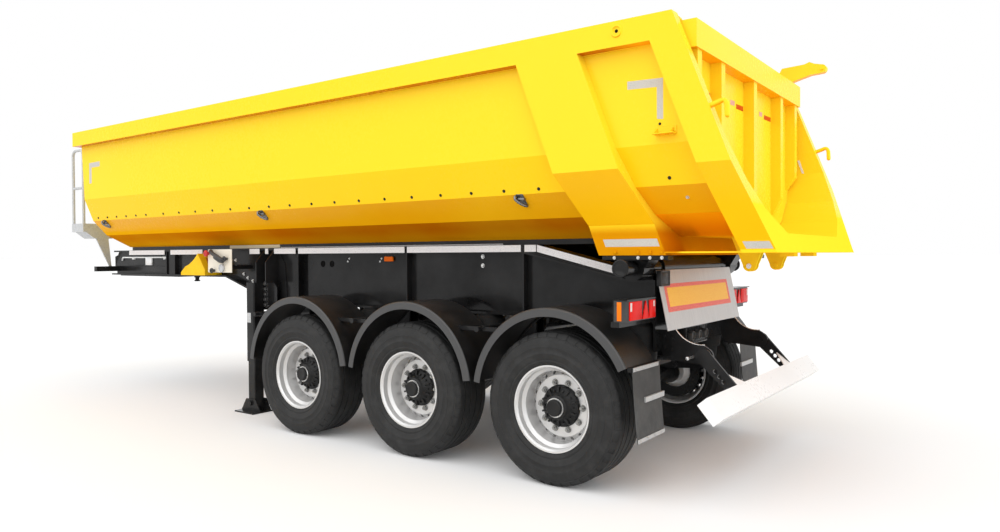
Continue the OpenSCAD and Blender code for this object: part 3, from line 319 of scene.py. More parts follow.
def makeTubYellow():
    # gloss yellow that deepens on the folds that look down, as painted shade; painted shade also darkens the rear faces
    # that look down and the low skirts, and painted light pales the faces that look back
    made, tree, shader = newMaterial("tubYellow", {})
    coords = addNode(tree, "TexCoord").outputs
    place, lean = partsOf(tree, coords["Object"]), partsOf(tree, coords["Normal"])
    down = mathOf(tree, "MULTIPLY", lean["Z"], -1.0)
    # painted shade: the yellow deepens with the face's downward tilt
    foldShadeRamp = addNode(tree, "ValToRGB", {"Fac": down})
    stops = foldShadeRamp.color_ramp.elements
    while len(stops) < len(tubPaint["foldShades"]):
        stops.new(0.5)
    for stop, (share, color) in zip(stops, tubPaint["foldShades"]):
        stop.position = share
        stop.color = (*color, 1)
    # painted shade on the rear faces that look down
    behind, under = ranged(tree, place["X"], *tubPaint["rearX"]), ranged(tree, down, *tubPaint["rearLean"])
    base = mixColor(tree, mathOf(tree, "MULTIPLY", behind, under), foldShadeRamp.outputs["Color"], tubPaint["rear"])
    # painted light: paler yellow on the faces that look back
    base = mixColor(tree, ranged(tree, lean["X"], *tubPaint["backLitLean"]), base, tubPaint["back"])
    # painted shade low on the skirts
    foot = ranged(tree, place["Z"], *tubPaint["skirtShadeZ"], kind="SMOOTHSTEP")
    ahead = ranged(tree, place["X"], *tubPaint["skirtShadeX"])
    base = mixColor(tree, mathOf(tree, "MULTIPLY", foot, ahead), base, tubPaint["skirt"])
    shine = ranged(tree, place["Z"], *tubPaint["shineZ"], 0.0, tubPaint["shine"])
    tree.links.new(shine, shader.inputs[specular])
    node = placeGroup(tree, paintGroup, {
        "Color": base, "Drift": mixColor(tree, tubPaint["driftShare"], base, tubPaint["drift"]), **tubPaint["spray"]})
    dress(tree, shader, tubPaint["bump"], node["Height"], node["Color"], node["Roughness"])
    return made


guardPaint = {
    "skin": {"Color": grey(0.006), "Scuff": grey(0.016), "Grain Scale": 260.0, "Low": 0.32, "High": 0.5},
    "lip": (0.047, 0.047, 0.048), "lipY": (1.236, 1.243)}


def makeGuardPlastic():
    # black moulded skin with paler outer lips
    made, tree, shader = newMaterial("guardPlastic", {})
    out = mathOf(tree, "ABSOLUTE", partsOf(tree, objectPlace(tree))["Y"])
    node = placeGroup(tree, grainGroup, guardPaint["skin"])
    color = mixColor(tree, ranged(tree, out, *guardPaint["lipY"]), node["Color"], guardPaint["lip"])
    dress(tree, shader, (0.2, 0.001), node["Height"], color, node["Roughness"])
    return made


panelPaint = {
    "face": {"Color": (0.82, 0.76, 0.64), "Drift": (0.74, 0.68, 0.56), "Cloud Scale": 4.0, "Gloss": 0.3, "Dull": 0.45},
    "arm": grey(0.008), "faceY": -0.8995}


def makePanelPaint():
    # white face on black arms
    made, tree, shader = newMaterial("panelPaint", {})
    behind = mathOf(tree, "GREATER_THAN", partsOf(tree, objectPlace(tree))["Y"], panelPaint["faceY"])
    node = placeGroup(tree, paintGroup, panelPaint["face"])
    color = mixColor(tree, behind, node["Color"], panelPaint["arm"])
    dress(tree, shader, (0.05, 0.001), node["Height"], color, node["Roughness"])
    return made


def makeTape(name, color, lines, cell=90.0):
    # retro-reflective sheeting: small cells under a clear face
    made, tree, shader = newMaterial(name, {"Roughness": 0.3, specular: 0.12})
    cells = addNode(tree, "TexVoronoi", {
        "Vector": objectPlace(tree), "Scale": cell}, feature="DISTANCE_TO_EDGE").outputs["Distance"]
    dress(tree, shader, (0.15, 0.0005), cells, mixColor(tree, ranged(tree, cells, 0.02, 0.12), lines, color))
    return made


def makeLens(name, color, deep):
    # moulded lens with upright flutes
    made, tree, shader = newMaterial(name, {"Coat Weight": 0.05, "Coat Roughness": 0.03, specular: 0.06})
    place = objectPlace(tree)
    flutes = addNode(tree, "TexWave", {
        "Vector": place, "Scale": 22.0, "Distortion": 0.4}, bands_direction="Y").outputs["Fac"]
    rough = ranged(tree, noise(tree, place, 30.0, 3.0), 0.0, 1.0, 0.08, 0.22)
    dress(tree, shader, (0.3, 0.002), flutes, mixColor(tree, flutes, deep, color), rough)
    return made


lowDust = {"Dust": (0.10, 0.098, 0.095), "Top": 1.1, "Amount": 0.2}
barDust = {"Dust": (0.6, 0.59, 0.57), "Top": 0.9, "Amount": 0.05}
flapDust = {"Dust": (0.2, 0.19, 0.175), "Top": 0.95, "Amount": 0.4}
fineBump = (0.05, 0.0003)
finish = {
    "tub_paint": makeTubYellow(),
    "chassis_paint": painted(
        "chassisBlack", (0.006, 0.006, 0.0062), (0.022, 0.022, 0.0225), (0.12, 0.24),
        {"Coat Weight": 0.05, "Coat Roughness": 0.06, specular: 0.17}, (0.06, 0.001), lowDust,
        (2.4, 160.0)),
    "white_paint": painted(
        "barWhite", (0.88, 0.885, 0.885), (0.84, 0.845, 0.845), (0.25, 0.45), {"Coat Weight": 0.2},
        (0.03, 0.001), barDust),
    "wheel_silver": painted(
        "rimSilver", (0.68, 0.675, 0.67), (0.60, 0.595, 0.59), (0.28, 0.48), {"Metallic": 0.45, "Coat Weight": 0.3},
        (0.05, 0.0005), None, (3.0, 500.0)),
    "galvanised": metal(
        "railingZinc", (0.56, 0.57, 0.58), (0.40, 0.41, 0.42), (0.35, 0.55), 70.0,
        {"Metallic": 0.05, specular: 0.2}, (0.08, 0.0005)),
    "steel": metal(
        "pinSteel", (0.66, 0.66, 0.67), (0.45, 0.45, 0.46), (0.15, 0.35), 25.0, {"Metallic": 0.95},
        (0.05, 0.0005), (3.0, 3.0, 30.0)),
    "aluminium": metal(
        "boardAluminium", (0.56, 0.56, 0.555), grey(0.44), (0.35, 0.5), 8.0, {"Metallic": 0.5}, fineBump,
        (1.0, 40.0, 1.0)),
    "lamp": moulded("lampHousing", grey(0.02), grey(0.05), (0.3, 0.5), None, (0.1, 0.0005)),
    "plastic": makeGuardPlastic(),
    "yellow_plastic": moulded(
        "chockYellow", (0.93, 0.58, 0.010), (0.82, 0.48, 0.008), (0.4, 0.6), {specular: 0.15},
        (0.15, 0.001)),
    "rubber": moulded(
        "flapRubber", grey(0.03), (0.075, 0.075, 0.074), (0.5, 0.75), None, (0.3, 0.001), flapDust, (190.0, 6.0)),
    "tyre": moulded(
        "tyreRubber", grey(0.012), grey(0.036), (0.55, 0.8), {specular: 0.35},
        (0.3, 0.001), None, (150.0, 9.0)),
}
tapeWhite = makeTape("tapeWhite", grey(0.84), (0.66, 0.66, 0.68))
tapeGrey = makeTape("tapeGrey", (0.58, 0.56, 0.51), (0.50, 0.48, 0.44))
tapePink = makeTape("tapePink", (0.80, 0.42, 0.34), (0.70, 0.34, 0.28))
tapeRed = makeTape("tapeRed", (0.72, 0.07, 0.012), (0.50, 0.04, 0.008))
signYellow = makeTape("signYellow", (1.0, 0.60, 0.075), (0.94, 0.50, 0.05), 60.0)
signRed = makeTape("signRed", (0.86, 0.19, 0.15), (0.72, 0.13, 0.11), 60.0)
lensRed = makeLens("lensRed", (0.88, 0.016, 0.010), (0.62, 0.006, 0.004))
lensAmber = makeLens("lensAmber", (0.92, 0.20, 0.010), (0.66, 0.11, 0.005))
# pale lens colour for painted highlights on the red lamps
lensHighlight = makeLens("lensHighlight", (0.85, 0.82, 0.80), (0.60, 0.55, 0.53))
hubBlack = painted("hubBlack", grey(0.006), grey(0.016), (0.25, 0.5), {specular: 0.25}, (0.08, 0.001))
padCream = painted("padCream", (0.66, 0.60, 0.42), (0.56, 0.50, 0.34), (0.35, 0.5))
boltZinc = metal(
    "boltZinc", (0.70, 0.70, 0.69), (0.50, 0.50, 0.49), (0.22, 0.42), 200.0, {"Metallic": 0.85}, fineBump)
boltDark = metal("boltDark", grey(0.20), grey(0.08), (0.2, 0.4), 120.0, {"Metallic": 0.8}, fineBump)
nutSteel = metal(
    "nutSteel", (0.34, 0.34, 0.33), (0.20, 0.20, 0.195), (0.25, 0.45), 150.0, {"Metallic": 0.6}, fineBump)
knobRed = moulded("knobRed", (0.60, 0.012, 0.01), (0.42, 0.01, 0.01), (0.25, 0.4))
# darker orange, painted shade inside the chock's slot
slotShadeOrange = moulded("slotShadeOrange", (0.55, 0.16, 0.008), (0.42, 0.11, 0.006), (0.4, 0.6))
# near black: painted shade inside the holes, and the grommets' own black rubber
holeDark = moulded("holeDark", grey(0.001), grey(0.002), (0.7, 0.9), {specular: 0.1})
deepRubber = moulded("deepRubber", grey(0.006), grey(0.014), (0.6, 0.8), {specular: 0.2})

for row in frame["record"]["subparts"]:
    node = frame["nodes"][row["node"]]
    node.data.materials.clear()
    node.data.materials.append(finish[row["material_slot"]])
frame["nodes"]["control_panel"].data.materials[0] = makePanelPaint()
frame["nodes"]["air_springs"].data.materials[0] = deepRubber
print("materials made")

# Modelling helpers

left = Vector((0, -1, 0))
rearward = Vector((1, 0, 0))


def setMode(mode):
    bpy.ops.object.mode_set(mode=mode)


def pick(*pieces):
    if bpy.context.mode != "OBJECT":
        setMode("OBJECT")
    bpy.ops.object.select_all(action="DESELECT")
    for piece in pieces:
        piece.select_set(True)
    if pieces:
        bpy.context.view_layer.objects.active = pieces[0]


def named(name):
    bpy.ops.object.transform_apply(location=True, rotation=True, scale=True)
    bpy.context.object.name = name
    return bpy.context.object


def onWholeMesh(piece, operator, **values):
    pick(piece)
    setMode("EDIT")
    bpy.ops.mesh.select_all(action="SELECT")
    operator(**values)
    setMode("OBJECT")


def faceOutwards(piece):
    onWholeMesh(piece, bpy.ops.mesh.normals_make_consistent, inside=False)
    return piece


def roundEdges(piece, width=0.0, segments=1, angle=40):
    if width:
        pick(piece)
        edge = piece.modifiers.new("edges", "BEVEL")
        edge.width = width
        edge.segments = segments
        edge.angle_limit = math.radians(angle)
        bpy.ops.object.modifier_apply(modifier=edge.name)
    return piece


def startBox(name, low, high, *edge):
    # edge is the width of the rounded edges, then their segments and least angle
    pick()
    low, high = Vector(low), Vector(high)
    bpy.ops.mesh.primitive_cube_add(size=1, location=(low + high) / 2)
    bpy.context.object.scale = high - low
    return roundEdges(named(name), *edge)


def startRod(name, radius, first, last, sides=24, *edge):
    pick()
    first, last = Vector(first), Vector(last)
    run = last - first
    bpy.ops.mesh.primitive_cylinder_add(
        vertices=sides, radius=radius, depth=run.length, location=(first + last) / 2,
        rotation=run.to_track_quat("Z", "Y").to_euler())
    return roundEdges(named(name), *edge)


def rodAcross(name, place, size, sides=24, *edge):
    # (along, up) place, then radius and both ends across
    (x, z), (radius, y0, y1) = place, size
    return startRod(name, radius, (x, y0, z), (x, y1, z), sides, *edge)


def startRing(name, outer, wire, place, sides=32):
    pick()
    bpy.ops.mesh.primitive_torus_add(
        major_radius=outer - wire, minor_radius=wire, major_segments=sides, minor_segments=10, location=place,
        rotation=inRadians((90, 0, 0)))
    return named(name)


def startPlate(name, outline, thickness):
    # flat plate: outline points in space, raised along the outline's own normal
    pick()
    bpy.ops.mesh.primitive_circle_add(vertices=len(outline), radius=1, fill_type="NGON")
    piece = named(name)
    for vertex, point in zip(piece.data.vertices, outline):
        vertex.co = point
    pick(piece)
    setMode("EDIT")
    bpy.ops.mesh.select_all(action="SELECT")
    normal = bmesh.from_edit_mesh(piece.data).faces[:][0].normal.copy()
    bpy.ops.mesh.extrude_region_move(TRANSFORM_OT_translate={"value": normal * thickness})
    return faceOutwards(piece)


def sidePlate(name, y, outline, thickness=0.0015):
    # (along, up) points at one place across
    return startPlate(name, [(x, y, z) for x, z in outline], thickness)


def crossPlate(name, outline, low, high):
    # (along, up) points, raised across from low to high
    piece = sidePlate(name, low, outline, high - low)
    away = low - min(vertex.co.y for vertex in piece.data.vertices)
    onWholeMesh(piece, bpy.ops.transform.translate, value=(0, away, 0))
    return piece


def drawLine(name, points):
    pick()
    bpy.ops.mesh.primitive_plane_add(size=0.01, location=points[0])
    piece = named(name)
    setMode("EDIT")
    bpy.ops.mesh.select_mode(type="VERT")
    bpy.ops.mesh.merge(type="CENTER")
    for before, after in zip(points, points[1:]):
        bpy.ops.mesh.extrude_vertices_move(TRANSFORM_OT_translate={"value": after - before})
    setMode("OBJECT")
    return piece


def bentWire(name, points, radius):
    # round bar through the points; its skin starts a quarter wider, because smoothing thins it
    piece = drawLine(name, [Vector(point) for point in points])
    piece.modifiers.new("skin", "SKIN")
    for vertex in piece.data.skin_vertices[0].data:
        vertex.radius = (radius * 1.25, radius * 1.25)
    piece.modifiers.new("round", "SUBSURF").levels = 2
    for modifier in ("skin", "round"):
        bpy.ops.object.modifier_apply(modifier=modifier)
    return piece


def insetAndPush(piece, test, rim, push):
    # insets the chosen faces, where there is a rim, and pushes them along their normals
    pick(piece)
    setMode("EDIT")
    bpy.ops.mesh.select_mode(type="FACE")
    bpy.ops.mesh.select_all(action="DESELECT")
    for face in bmesh.from_edit_mesh(piece.data).faces:
        face.select_set(bool(test(face.calc_center_median(), face.normal)))
    bmesh.update_edit_mesh(piece.data)
    if rim:
        bpy.ops.mesh.inset(thickness=rim, depth=0)
    bpy.ops.mesh.extrude_region_shrink_fatten(TRANSFORM_OT_shrink_fatten={"value": push})
    setMode("OBJECT")


def dish(piece, way, rim, push, *edge):
    # sinks the faces that look one way, then rounds the edges
    insetAndPush(piece, lambda centre, normal: normal.dot(way) > 0.9, rim, push)
    return roundEdges(piece, *edge)


def joined(name, pieces):
    pick(*pieces)
    if len(pieces) > 1:
        bpy.ops.object.join()
    pieces[0].name = name
    return pieces[0]


def copyOf(piece, move=(0, 0, 0), turn=0, axis="Z", centre=(0, 0, 0)):
    pick(piece)
    bpy.ops.object.duplicate(linked=False)
    if turn:
        bpy.ops.transform.rotate(value=math.radians(turn), orient_axis=axis, center_override=centre)
    bpy.ops.transform.translate(value=move)
    bpy.ops.object.transform_apply(location=True, rotation=True, scale=True)
    return bpy.context.object


def rowOf(name, piece, places):
    # the piece is modelled at the first place, and the rest are copies
    first = Vector(places[0])
    return joined(name, [piece] + [copyOf(piece, Vector(place) - first) for place in places[1:]])


def otherSide(name, piece):
    # a mirrored copy across the middle plane, with its faces turned back outwards
    twin = copyOf(piece)
    twin.name = name
    onWholeMesh(twin, bpy.ops.transform.resize, value=(1, -1, 1), center_override=(0, 0, 0))
    onWholeMesh(twin, bpy.ops.mesh.flip_normals)
    return twin


def done(piece, slotName, material=None, body="chassis"):
    # the material is the slot's own finish where none is given
    pick(piece)
    bpy.ops.object.shade_smooth_by_angle(angle=math.radians(35))
    piece.data.materials.clear()
    piece.data.materials.append(material or finish[slotName])
    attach(piece, body)


def onBothSides(piece, slotName, material=None, body="chassis"):
    name = piece.name
    twin = otherSide(name + "Right", piece)
    piece.name = name + "Left"
    done(piece, slotName, material, body)
    done(twin, slotName, material, body)


def boltHead(name, place, facing, radius, height):
    # hexagon head on its washer, standing on a face that looks along facing
    place, step = Vector(place), Vector(facing).normalized() * height
    washer = startRod(name + "Washer", radius * 1.45, place, place + step * 0.3, 16)
    head = startRod(name, radius, place + step * 0.3, place + step * 1.3, 6, radius * 0.12, 1, 60)
    return joined(name, [head, washer])


# Wheels and tyres

axleXs = (0.255, 1.565, 2.875)
wheelCentre = Vector((axleXs[0], -1.045, 0.525))


def atWheel(place):
    return wheelCentre + Vector(place)


def spinProfile(name, profile, steps):
    # (radius, across) points, spun round the first left wheel's axle; across grows outwards
    piece = drawLine(name, [atWheel((radius, -across, 0)) for radius, across in profile])
    onWholeMesh(piece, bpy.ops.mesh.spin, steps=steps, angle=2 * math.pi, center=wheelCentre, axis=(0, 1, 0))
    onWholeMesh(piece, bpy.ops.mesh.remove_doubles, threshold=0.00005)
    return faceOutwards(piece)


def ringOf(piece, count, shift=0.0):
    # copies round the axle in place of the piece; shift is a share of one step
    made = [copyOf(piece, turn=360 * (i + shift) / count, axis="Y", centre=wheelCentre) for i in range(count)]
    bpy.data.objects.remove(piece)
    return made


def onEveryWheel(piece, slotName, material=None, node=None):
    # modelled on the first left wheel, then copied to all six
    name = piece.name
    for side, turn in (("left", 0), ("right", 180)):
        for index, x in enumerate(axleXs):
            body = f"wheel_{side}_{index + 1}"
            twin = copyOf(piece, (x - axleXs[0], 0, 0), turn, "Z", (axleXs[0], 0, 0))
            twin.name = f"{name}_{side}_{index + 1}"
            if node:
                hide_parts(f"{node}_{side}_{index + 1}")
            done(twin, slotName, material, body)
    bpy.data.objects.remove(piece)


# side wall: steps up from the bead or down from the tread, then outwards from the seat or the half width
tyreForm = {
    "radius": 0.525, "bead": 0.2865, "half": 0.1925, "seat": 0.148, "steps": 120, "grooves": (0.098, 0.034),
    "grooveWide": 0.013, "grooveDeep": 0.012, "grooveSlant": 0.003, "notchEvery": 3, "notchDeep": 0.004,
    "notchY": (0.148, 0.177), "notchReach": 0.034,
    "toe": (
        (0, 0), (0.012, 0.0055), (0.016, 0.018), (0.026, 0.026), (0.034, 0.030), (0.037, 0.034), (0.046, 0.035),
        (0.050, 0.033)),
    "ring": ((0.062, -0.005), (0.090, -0.001), (0.092, 0.0005), (0.098, 0.0005), (0.100, -0.0005)),
    "shoulder": (
        (0.105, -0.0005), (0.103, 0.0005), (0.097, 0), (0.095, -0.002), (0.062, -0.007), (0.046, -0.012),
        (0.044, -0.015), (0.038, -0.017), (0.034, -0.0155), (0.012, -0.032), (0.003, -0.042))}


def makeTyre():
    form = tyreForm
    r, bead, half, seat = form["radius"], form["bead"], form["half"], form["seat"]
    wall = [(bead + up, seat + out) for up, out in form["toe"]] + [(bead + up, half + out) for up, out in form["ring"]]
    wall += [(r - down, half + out) for down, out in form["shoulder"]]
    wide, base, slant = form["grooveWide"] / 2, r - form["grooveDeep"], form["grooveSlant"]
    tread = [(r, half - 0.055)]
    for middle in form["grooves"]:
        tread += [
            (r, middle + wide), (base, middle + wide - slant), (base, middle - wide + slant), (r, middle - wide)]
    upper = wall + tread
    profile = upper + [(radius, -across) for radius, across in reversed(upper)]
    tyre = spinProfile("roadTyre", profile + [profile[0]], form["steps"])

    def shoulderNotch(centre, normal):
        x, y, z = centre - wheelCentre
        step = int(math.degrees(math.atan2(z, x)) % 360 / 360 * form["steps"])
        onShoulder = form["notchY"][0] < abs(y) < form["notchY"][1] and math.hypot(x, z) > r - form["notchReach"]
        return onShoulder and step % form["notchEvery"] == 0

    insetAndPush(tyre, shoulderNotch, 0.0, -form["notchDeep"])
    return tyre


onEveryWheel(makeTyre(), "tyre", node="tyre")

# bolts and lugs by their place from the wheel's centre
hubForm = {
    "proud": 0.002, "steps": 64, "count": 10, "bolt": (0.113, -0.0535, 0), "boltFacing": (0.3, -1, 0),
    "boltSize": (0.008, 0.010), "lug": ((0.084, -0.066, -0.007), (0.139, -0.040, 0.007))}


def makeHub():
    p = hubForm["proud"]
    profile = [
        (0.147, 0.0155), (0.147, 0.021), (0.140 + p, 0.024), (0.140 + p, 0.036), (0.128 + p, 0.045 + p),
        (0.098 + p, 0.060 + p), (0.080 + p, 0.090 + p), (0.064, 0.098 + p), (0.057 + p, 0.103), (0.057 + p, 0.1245),
        (0.0555, 0.130), (0.050, 0.132 + p), (0.040, 0.132 + p), (0.038, 0.1315 + p), (0.0, 0.1315 + p)]
    hub = spinProfile("hub", profile, hubForm["steps"])
    bolt = boltHead("hubBolt", atWheel(hubForm["bolt"]), hubForm["boltFacing"], *hubForm["boltSize"])
    lug = startBox("hubLug", *map(atWheel, hubForm["lug"]), 0.003, 2)
    return joined("hubCover", [hub] + ringOf(bolt, hubForm["count"]) + ringOf(lug, hubForm["count"], 0.5))


onEveryWheel(makeHub(), "chassis_paint", hubBlack)

# radius and place across of the drum behind the disc, and of the ring round the cap
drumForm = (
    (0.152, -0.034), (0.200, -0.034), (0.232, -0.048), (0.237, -0.060), (0.237, -0.150), (0.152, -0.150),
    (0.152, -0.034))
capForm = ((0.0575, 0.106), (0.0665, 0.106), (0.068, 0.109), (0.066, 0.1125), (0.0592, 0.1125), (0.0575, 0.106))
onEveryWheel(spinProfile("brakeDrum", drumForm, 48), "chassis_paint", hubBlack)
onEveryWheel(spinProfile("capRing", capForm, 48), "steel", boltZinc)

nutForm = {
    "place": (0.1675, -0.0150, 0), "count": 10, "collar": 0.0235, "collarHigh": 0.005, "radius": 0.0178, "high": 0.021,
    "rim": 0.0055, "stud": 0.012, "valve": ((0.15, -0.01, 0.135), (0.162, -0.075, 0.146))}


def makeNuts():
    base = atWheel(nutForm["place"])
    seat, top = base + left * nutForm["collarHigh"], base + left * nutForm["high"]
    collar = startRod("nutCollar", nutForm["collar"], base, seat, 24, 0.0015)
    nut = dish(startRod("nut", nutForm["radius"], seat, top, 6), left, nutForm["rim"], 0.0)
    insetAndPush(nut, lambda c, n: n.dot(left) > 0.9 and (c - base).xz.length < 0.002, 0.001, nutForm["stud"])
    roundEdges(nut, 0.0012, 1, 50)
    valve = startRod("valve", 0.005, *map(atWheel, nutForm["valve"]), 10, 0.001)
    return joined("wheelNuts", ringOf(joined("nut", [nut, collar]), nutForm["count"]) + [valve])


onEveryWheel(makeNuts(), "steel", nutSteel)
print("wheels dressed")

# Tub: marks and small fittings

# (out, up) of the lower and the upper edge of two leaning faces
wallFold = ((1.110, 2.000), (1.195, 2.249))
postFace = ((1.080, 1.598), (1.275, 2.108))


def slopeOf(face):
    (out0, z0), (out1, z1) = face
    return (out1 - out0) / (z1 - z0)


def faceY(face, z):
    out, foot = face[0]
    return -(out + (z - foot) * slopeOf(face))


# retro-reflective marks: name, place across, (along, up) outline, material
wallMarks = (
    ("rearMark", -1.1952, (
        (3.446, 2.660), (3.686, 2.652), (3.687, 2.400), (3.646, 2.404), (3.645, 2.601), (3.446, 2.609)), tapeGrey),
    ("frontMark", -1.1952, (
        (-3.468, 2.668), (-3.224, 2.673), (-3.224, 2.615), (-3.413, 2.612), (-3.413, 2.430), (-3.468, 2.430)),
     tapeGrey),
    ("ribStrip", -1.0252, ((3.180, 1.672), (3.568, 1.672), (3.587, 1.622), (3.199, 1.622)), tapeGrey),
    ("edgeMark", -1.1867, ((3.868, 2.366), (3.886, 2.366), (3.923, 2.253), (3.905, 2.253)), tapeWhite))
for name, y, outline, tape in wallMarks:
    onBothSides(sidePlate(name, y, outline), "white_paint", tape, body="tub")

postStrip = {"lift": 0.0003, "corners": ((4.140, 1.645), (4.296, 1.645), (4.315, 1.602), (4.158, 1.602))}
outline = [(x, faceY(postFace, z) - postStrip["lift"], z) for x, z in postStrip["corners"]]
onBothSides(startPlate("postStrip", outline, 0.0015), "white_paint", tapeGrey, body="tub")

# black plates under the ribs, and the cross beam under the floor, ahead of the hinge
underForm = {
    "plate": ((3.170, -1.020, 1.533), (3.640, -0.930, 1.5648)),
    "beam": ((3.200, -0.760, 1.500), (3.260, 0.760, 1.5645)), "beamRim": 0.012, "beamDeep": 0.008}
onBothSides(startBox("footPlate", *underForm["plate"], 0.003), "chassis_paint", body="tub")
cross = startBox("floorCross", *underForm["beam"])
insetAndPush(cross, lambda c, n: abs(n.x) > 0.9, underForm["beamRim"], -underForm["beamDeep"])
done(roundEdges(cross, 0.003), "chassis_paint", body="tub")

# eye in the top rail: ring, dished plug, and a near-black disc of painted shade inside the hole
railEye = {
    "place": (3.411, 2.965), "y": -1.2755, "ring": (0.040, 0.008), "plug": (0.027, -1.272, -1.278),
    "holeShade": (0.012, -1.270, -1.2765)}
x, z = railEye["place"]
eye = startRing("railEye", *railEye["ring"], (x, railEye["y"], z), 40)
plug = dish(rodAcross("railPlug", railEye["place"], railEye["plug"], 32), left, 0.006, -0.004)
onBothSides(joined("railEye", [eye, plug]), "tub_paint", body="tub")
# the hole: a near-black disc of painted shade
holeShade = rodAcross("railHoleShade", railEye["place"], railEye["holeShade"], 32, 0.002)
onBothSides(holeShade, "rubber", holeDark, body="tub")

# weld seam under the top rail
seamForm = {"xs": (-3.60, 3.52), "y": -1.1955, "z": 2.868, "radius": 0.005, "flat": 0.5}
y, z = seamForm["y"], seamForm["z"]
seam = startRod("underRailSeam", seamForm["radius"], *[(x, y, z) for x in seamForm["xs"]], 10)
onWholeMesh(seam, bpy.ops.transform.resize, value=(1, seamForm["flat"], 1), center_override=(0, y, z))
onBothSides(seam, "tub_paint", body="tub")

# shelf bracket on the rear panel
shelfForm = {
    "plate": ((3.640, -1.201, 2.300), (3.775, -1.195, 2.352)), "top": ((3.640, -1.262, 2.300), (3.775, -1.195, 2.308)),
    "rib": ((3.652, -1.201, 2.308), (3.652, -1.258, 2.308), (3.652, -1.201, 2.346)), "ribGap": 0.105}
rib = startPlate("shelfRib", shelfForm["rib"], 0.006)
shelf = joined("panelShelf", [
    startBox("shelfPlate", *shelfForm["plate"]), startBox("shelfTop", *shelfForm["top"]), rib,
    copyOf(rib, (shelfForm["ribGap"], 0, 0))])
onBothSides(roundEdges(shelf, 0.002), "tub_paint", body="tub")

# over-centre catches on the middle fold: (along, up the fold, outwards) of each form
catchForm = {
    "xs": (-3.300, -0.380, 2.561), "y": -1.080, "z": 1.966, "pin": ((-0.036, 0.012, 0.012), (0.036, 0.012, 0.012)),
    "plate": ((-0.03, -0.05, 0.0005), (0.03, -0.05, 0.0005), (0.03, 0.05, 0.0005), (-0.03, 0.05, 0.0005)),
    "grip": (
        (-0.035, 0.045, 0.006), (-0.030, 0.030, 0.034), (0.0, -0.005, 0.038), (0.030, -0.042, 0.024),
        (0.036, -0.054, 0.008))}
upFold, offFold = Vector((0, -0.150, 0.169)).normalized(), Vector((0, -0.169, -0.150)).normalized()


def onFold(points):
    start = Vector((catchForm["xs"][0], catchForm["y"], catchForm["z"]))
    return [start + rearward * along + upFold * up + offFold * out for along, up, out in points]


catch = joined("catch", [
    roundEdges(startPlate("catchPlate", onFold(catchForm["plate"]), 0.006), 0.002),
    bentWire("catchGrip", onFold(catchForm["grip"]), 0.009),
    startRod("catchPin", 0.014, *onFold(catchForm["pin"]), 16, 0.003)])
onBothSides(rowOf("foldCatches", catch, [(x, 0, 0) for x in catchForm["xs"]]), "steel", boltDark, body="tub")

# rope hooks behind the rear posts
ropeHook = {
    "y": -1.250, "radius": 0.014,
    "bends": ((3.965, 2.424), (4.040, 2.446), (4.086, 2.462), (4.102, 2.440), (4.106, 2.352))}
hook = bentWire("ropeHook", [(x, ropeHook["y"], z) for x, z in ropeHook["bends"]], ropeHook["radius"])
onBothSides(hook, "tub_paint", body="tub")

# pale pads on the floor runners, level with the landing legs, and behind them a pale zinc strip, a painted highlight
# where the flange's top edge catches light
runnerForm = {
    "pad": ((-1.500, -0.679, 1.654), (-0.660, -0.675, 1.688)),
    # edge: the painted highlight strip
    "edge": ((-0.650, -0.678, 1.652), (2.105, -0.675, 1.662))}
onBothSides(startBox("runnerPad", *runnerForm["pad"], 0.0015), "white_paint", padCream, body="tub")
onBothSides(startBox("runnerEdgeHighlight", *runnerForm["edge"], 0.001), "galvanised", body="tub")
print("tub dressed")

# Tailgate: marks across the plate and its ribs

# marks: name, slot, material, then start and end across and foot of each
gateMarks = {
    "x": 3.8032, "high": 0.034, "rise": 0.004, "thick": 0.0012, "marks": (
        ("gateMarksRed", "lamp", tapeRed, (
            (-0.820, -0.715, 2.586), (-0.196, -0.048, 2.602), (0.457, 0.628, 2.620), (1.120, 1.172, 2.692))),
        ("gateMarksWhite", "white_paint", tapePink, ((-0.320, -0.230, 2.612), (0.335, 0.410, 2.628))))}
x, high, rise = gateMarks["x"], gateMarks["high"], gateMarks["rise"]
for name, slotName, tape, rows in gateMarks["marks"]:
    marks = [startPlate(name, [
        (x, y0, z), (x, y1, z + rise), (x, y1, z + high + rise), (x, y0, z + high)], gateMarks["thick"])
        for y0, y1, z in rows]
    done(joined(name, marks), slotName, tape, body="tailgate")
print("tailgate dressed")

# Chassis: tape, markers and fittings along the beams

# start and end along of each strip on the flange's edge, then of the strip on the sloping tail
beamSide = {
    "y": -0.7152, "top": 1.648, "high": 0.053, "flange": (-0.715, -0.565),
    "bays": (
        (-3.500, -2.715), (-2.590, -1.953), (-1.107, -0.941), (-0.850, -0.800), (-0.706, -0.375), (-0.335, 1.078),
        (1.108, 2.300), (2.335, 2.440)),
    "tailStrip": ((2.449, 1.648), (3.203, 1.465)),
    "tail": ((2.112, 1.6495), (2.445, 1.6495), (3.215, 1.467), (3.215, 1.397))}
tail = crossPlate("beamTail", beamSide["tail"], *beamSide["flange"])
onBothSides(dish(tail, left, 0.012, -0.006, 0.002), "chassis_paint")
top, high = beamSide["top"], beamSide["high"]
strips = [((start, top), (end, top)) for start, end in beamSide["bays"]] + [beamSide["tailStrip"]]
webTape = [sidePlate("webTape", beamSide["y"], (
    (start, startZ), (end, endZ), (end, endZ - high), (start, startZ - high)))
    for (start, startZ), (end, endZ) in strips]
onBothSides(joined("webTape", webTape), "white_paint", tapeWhite)

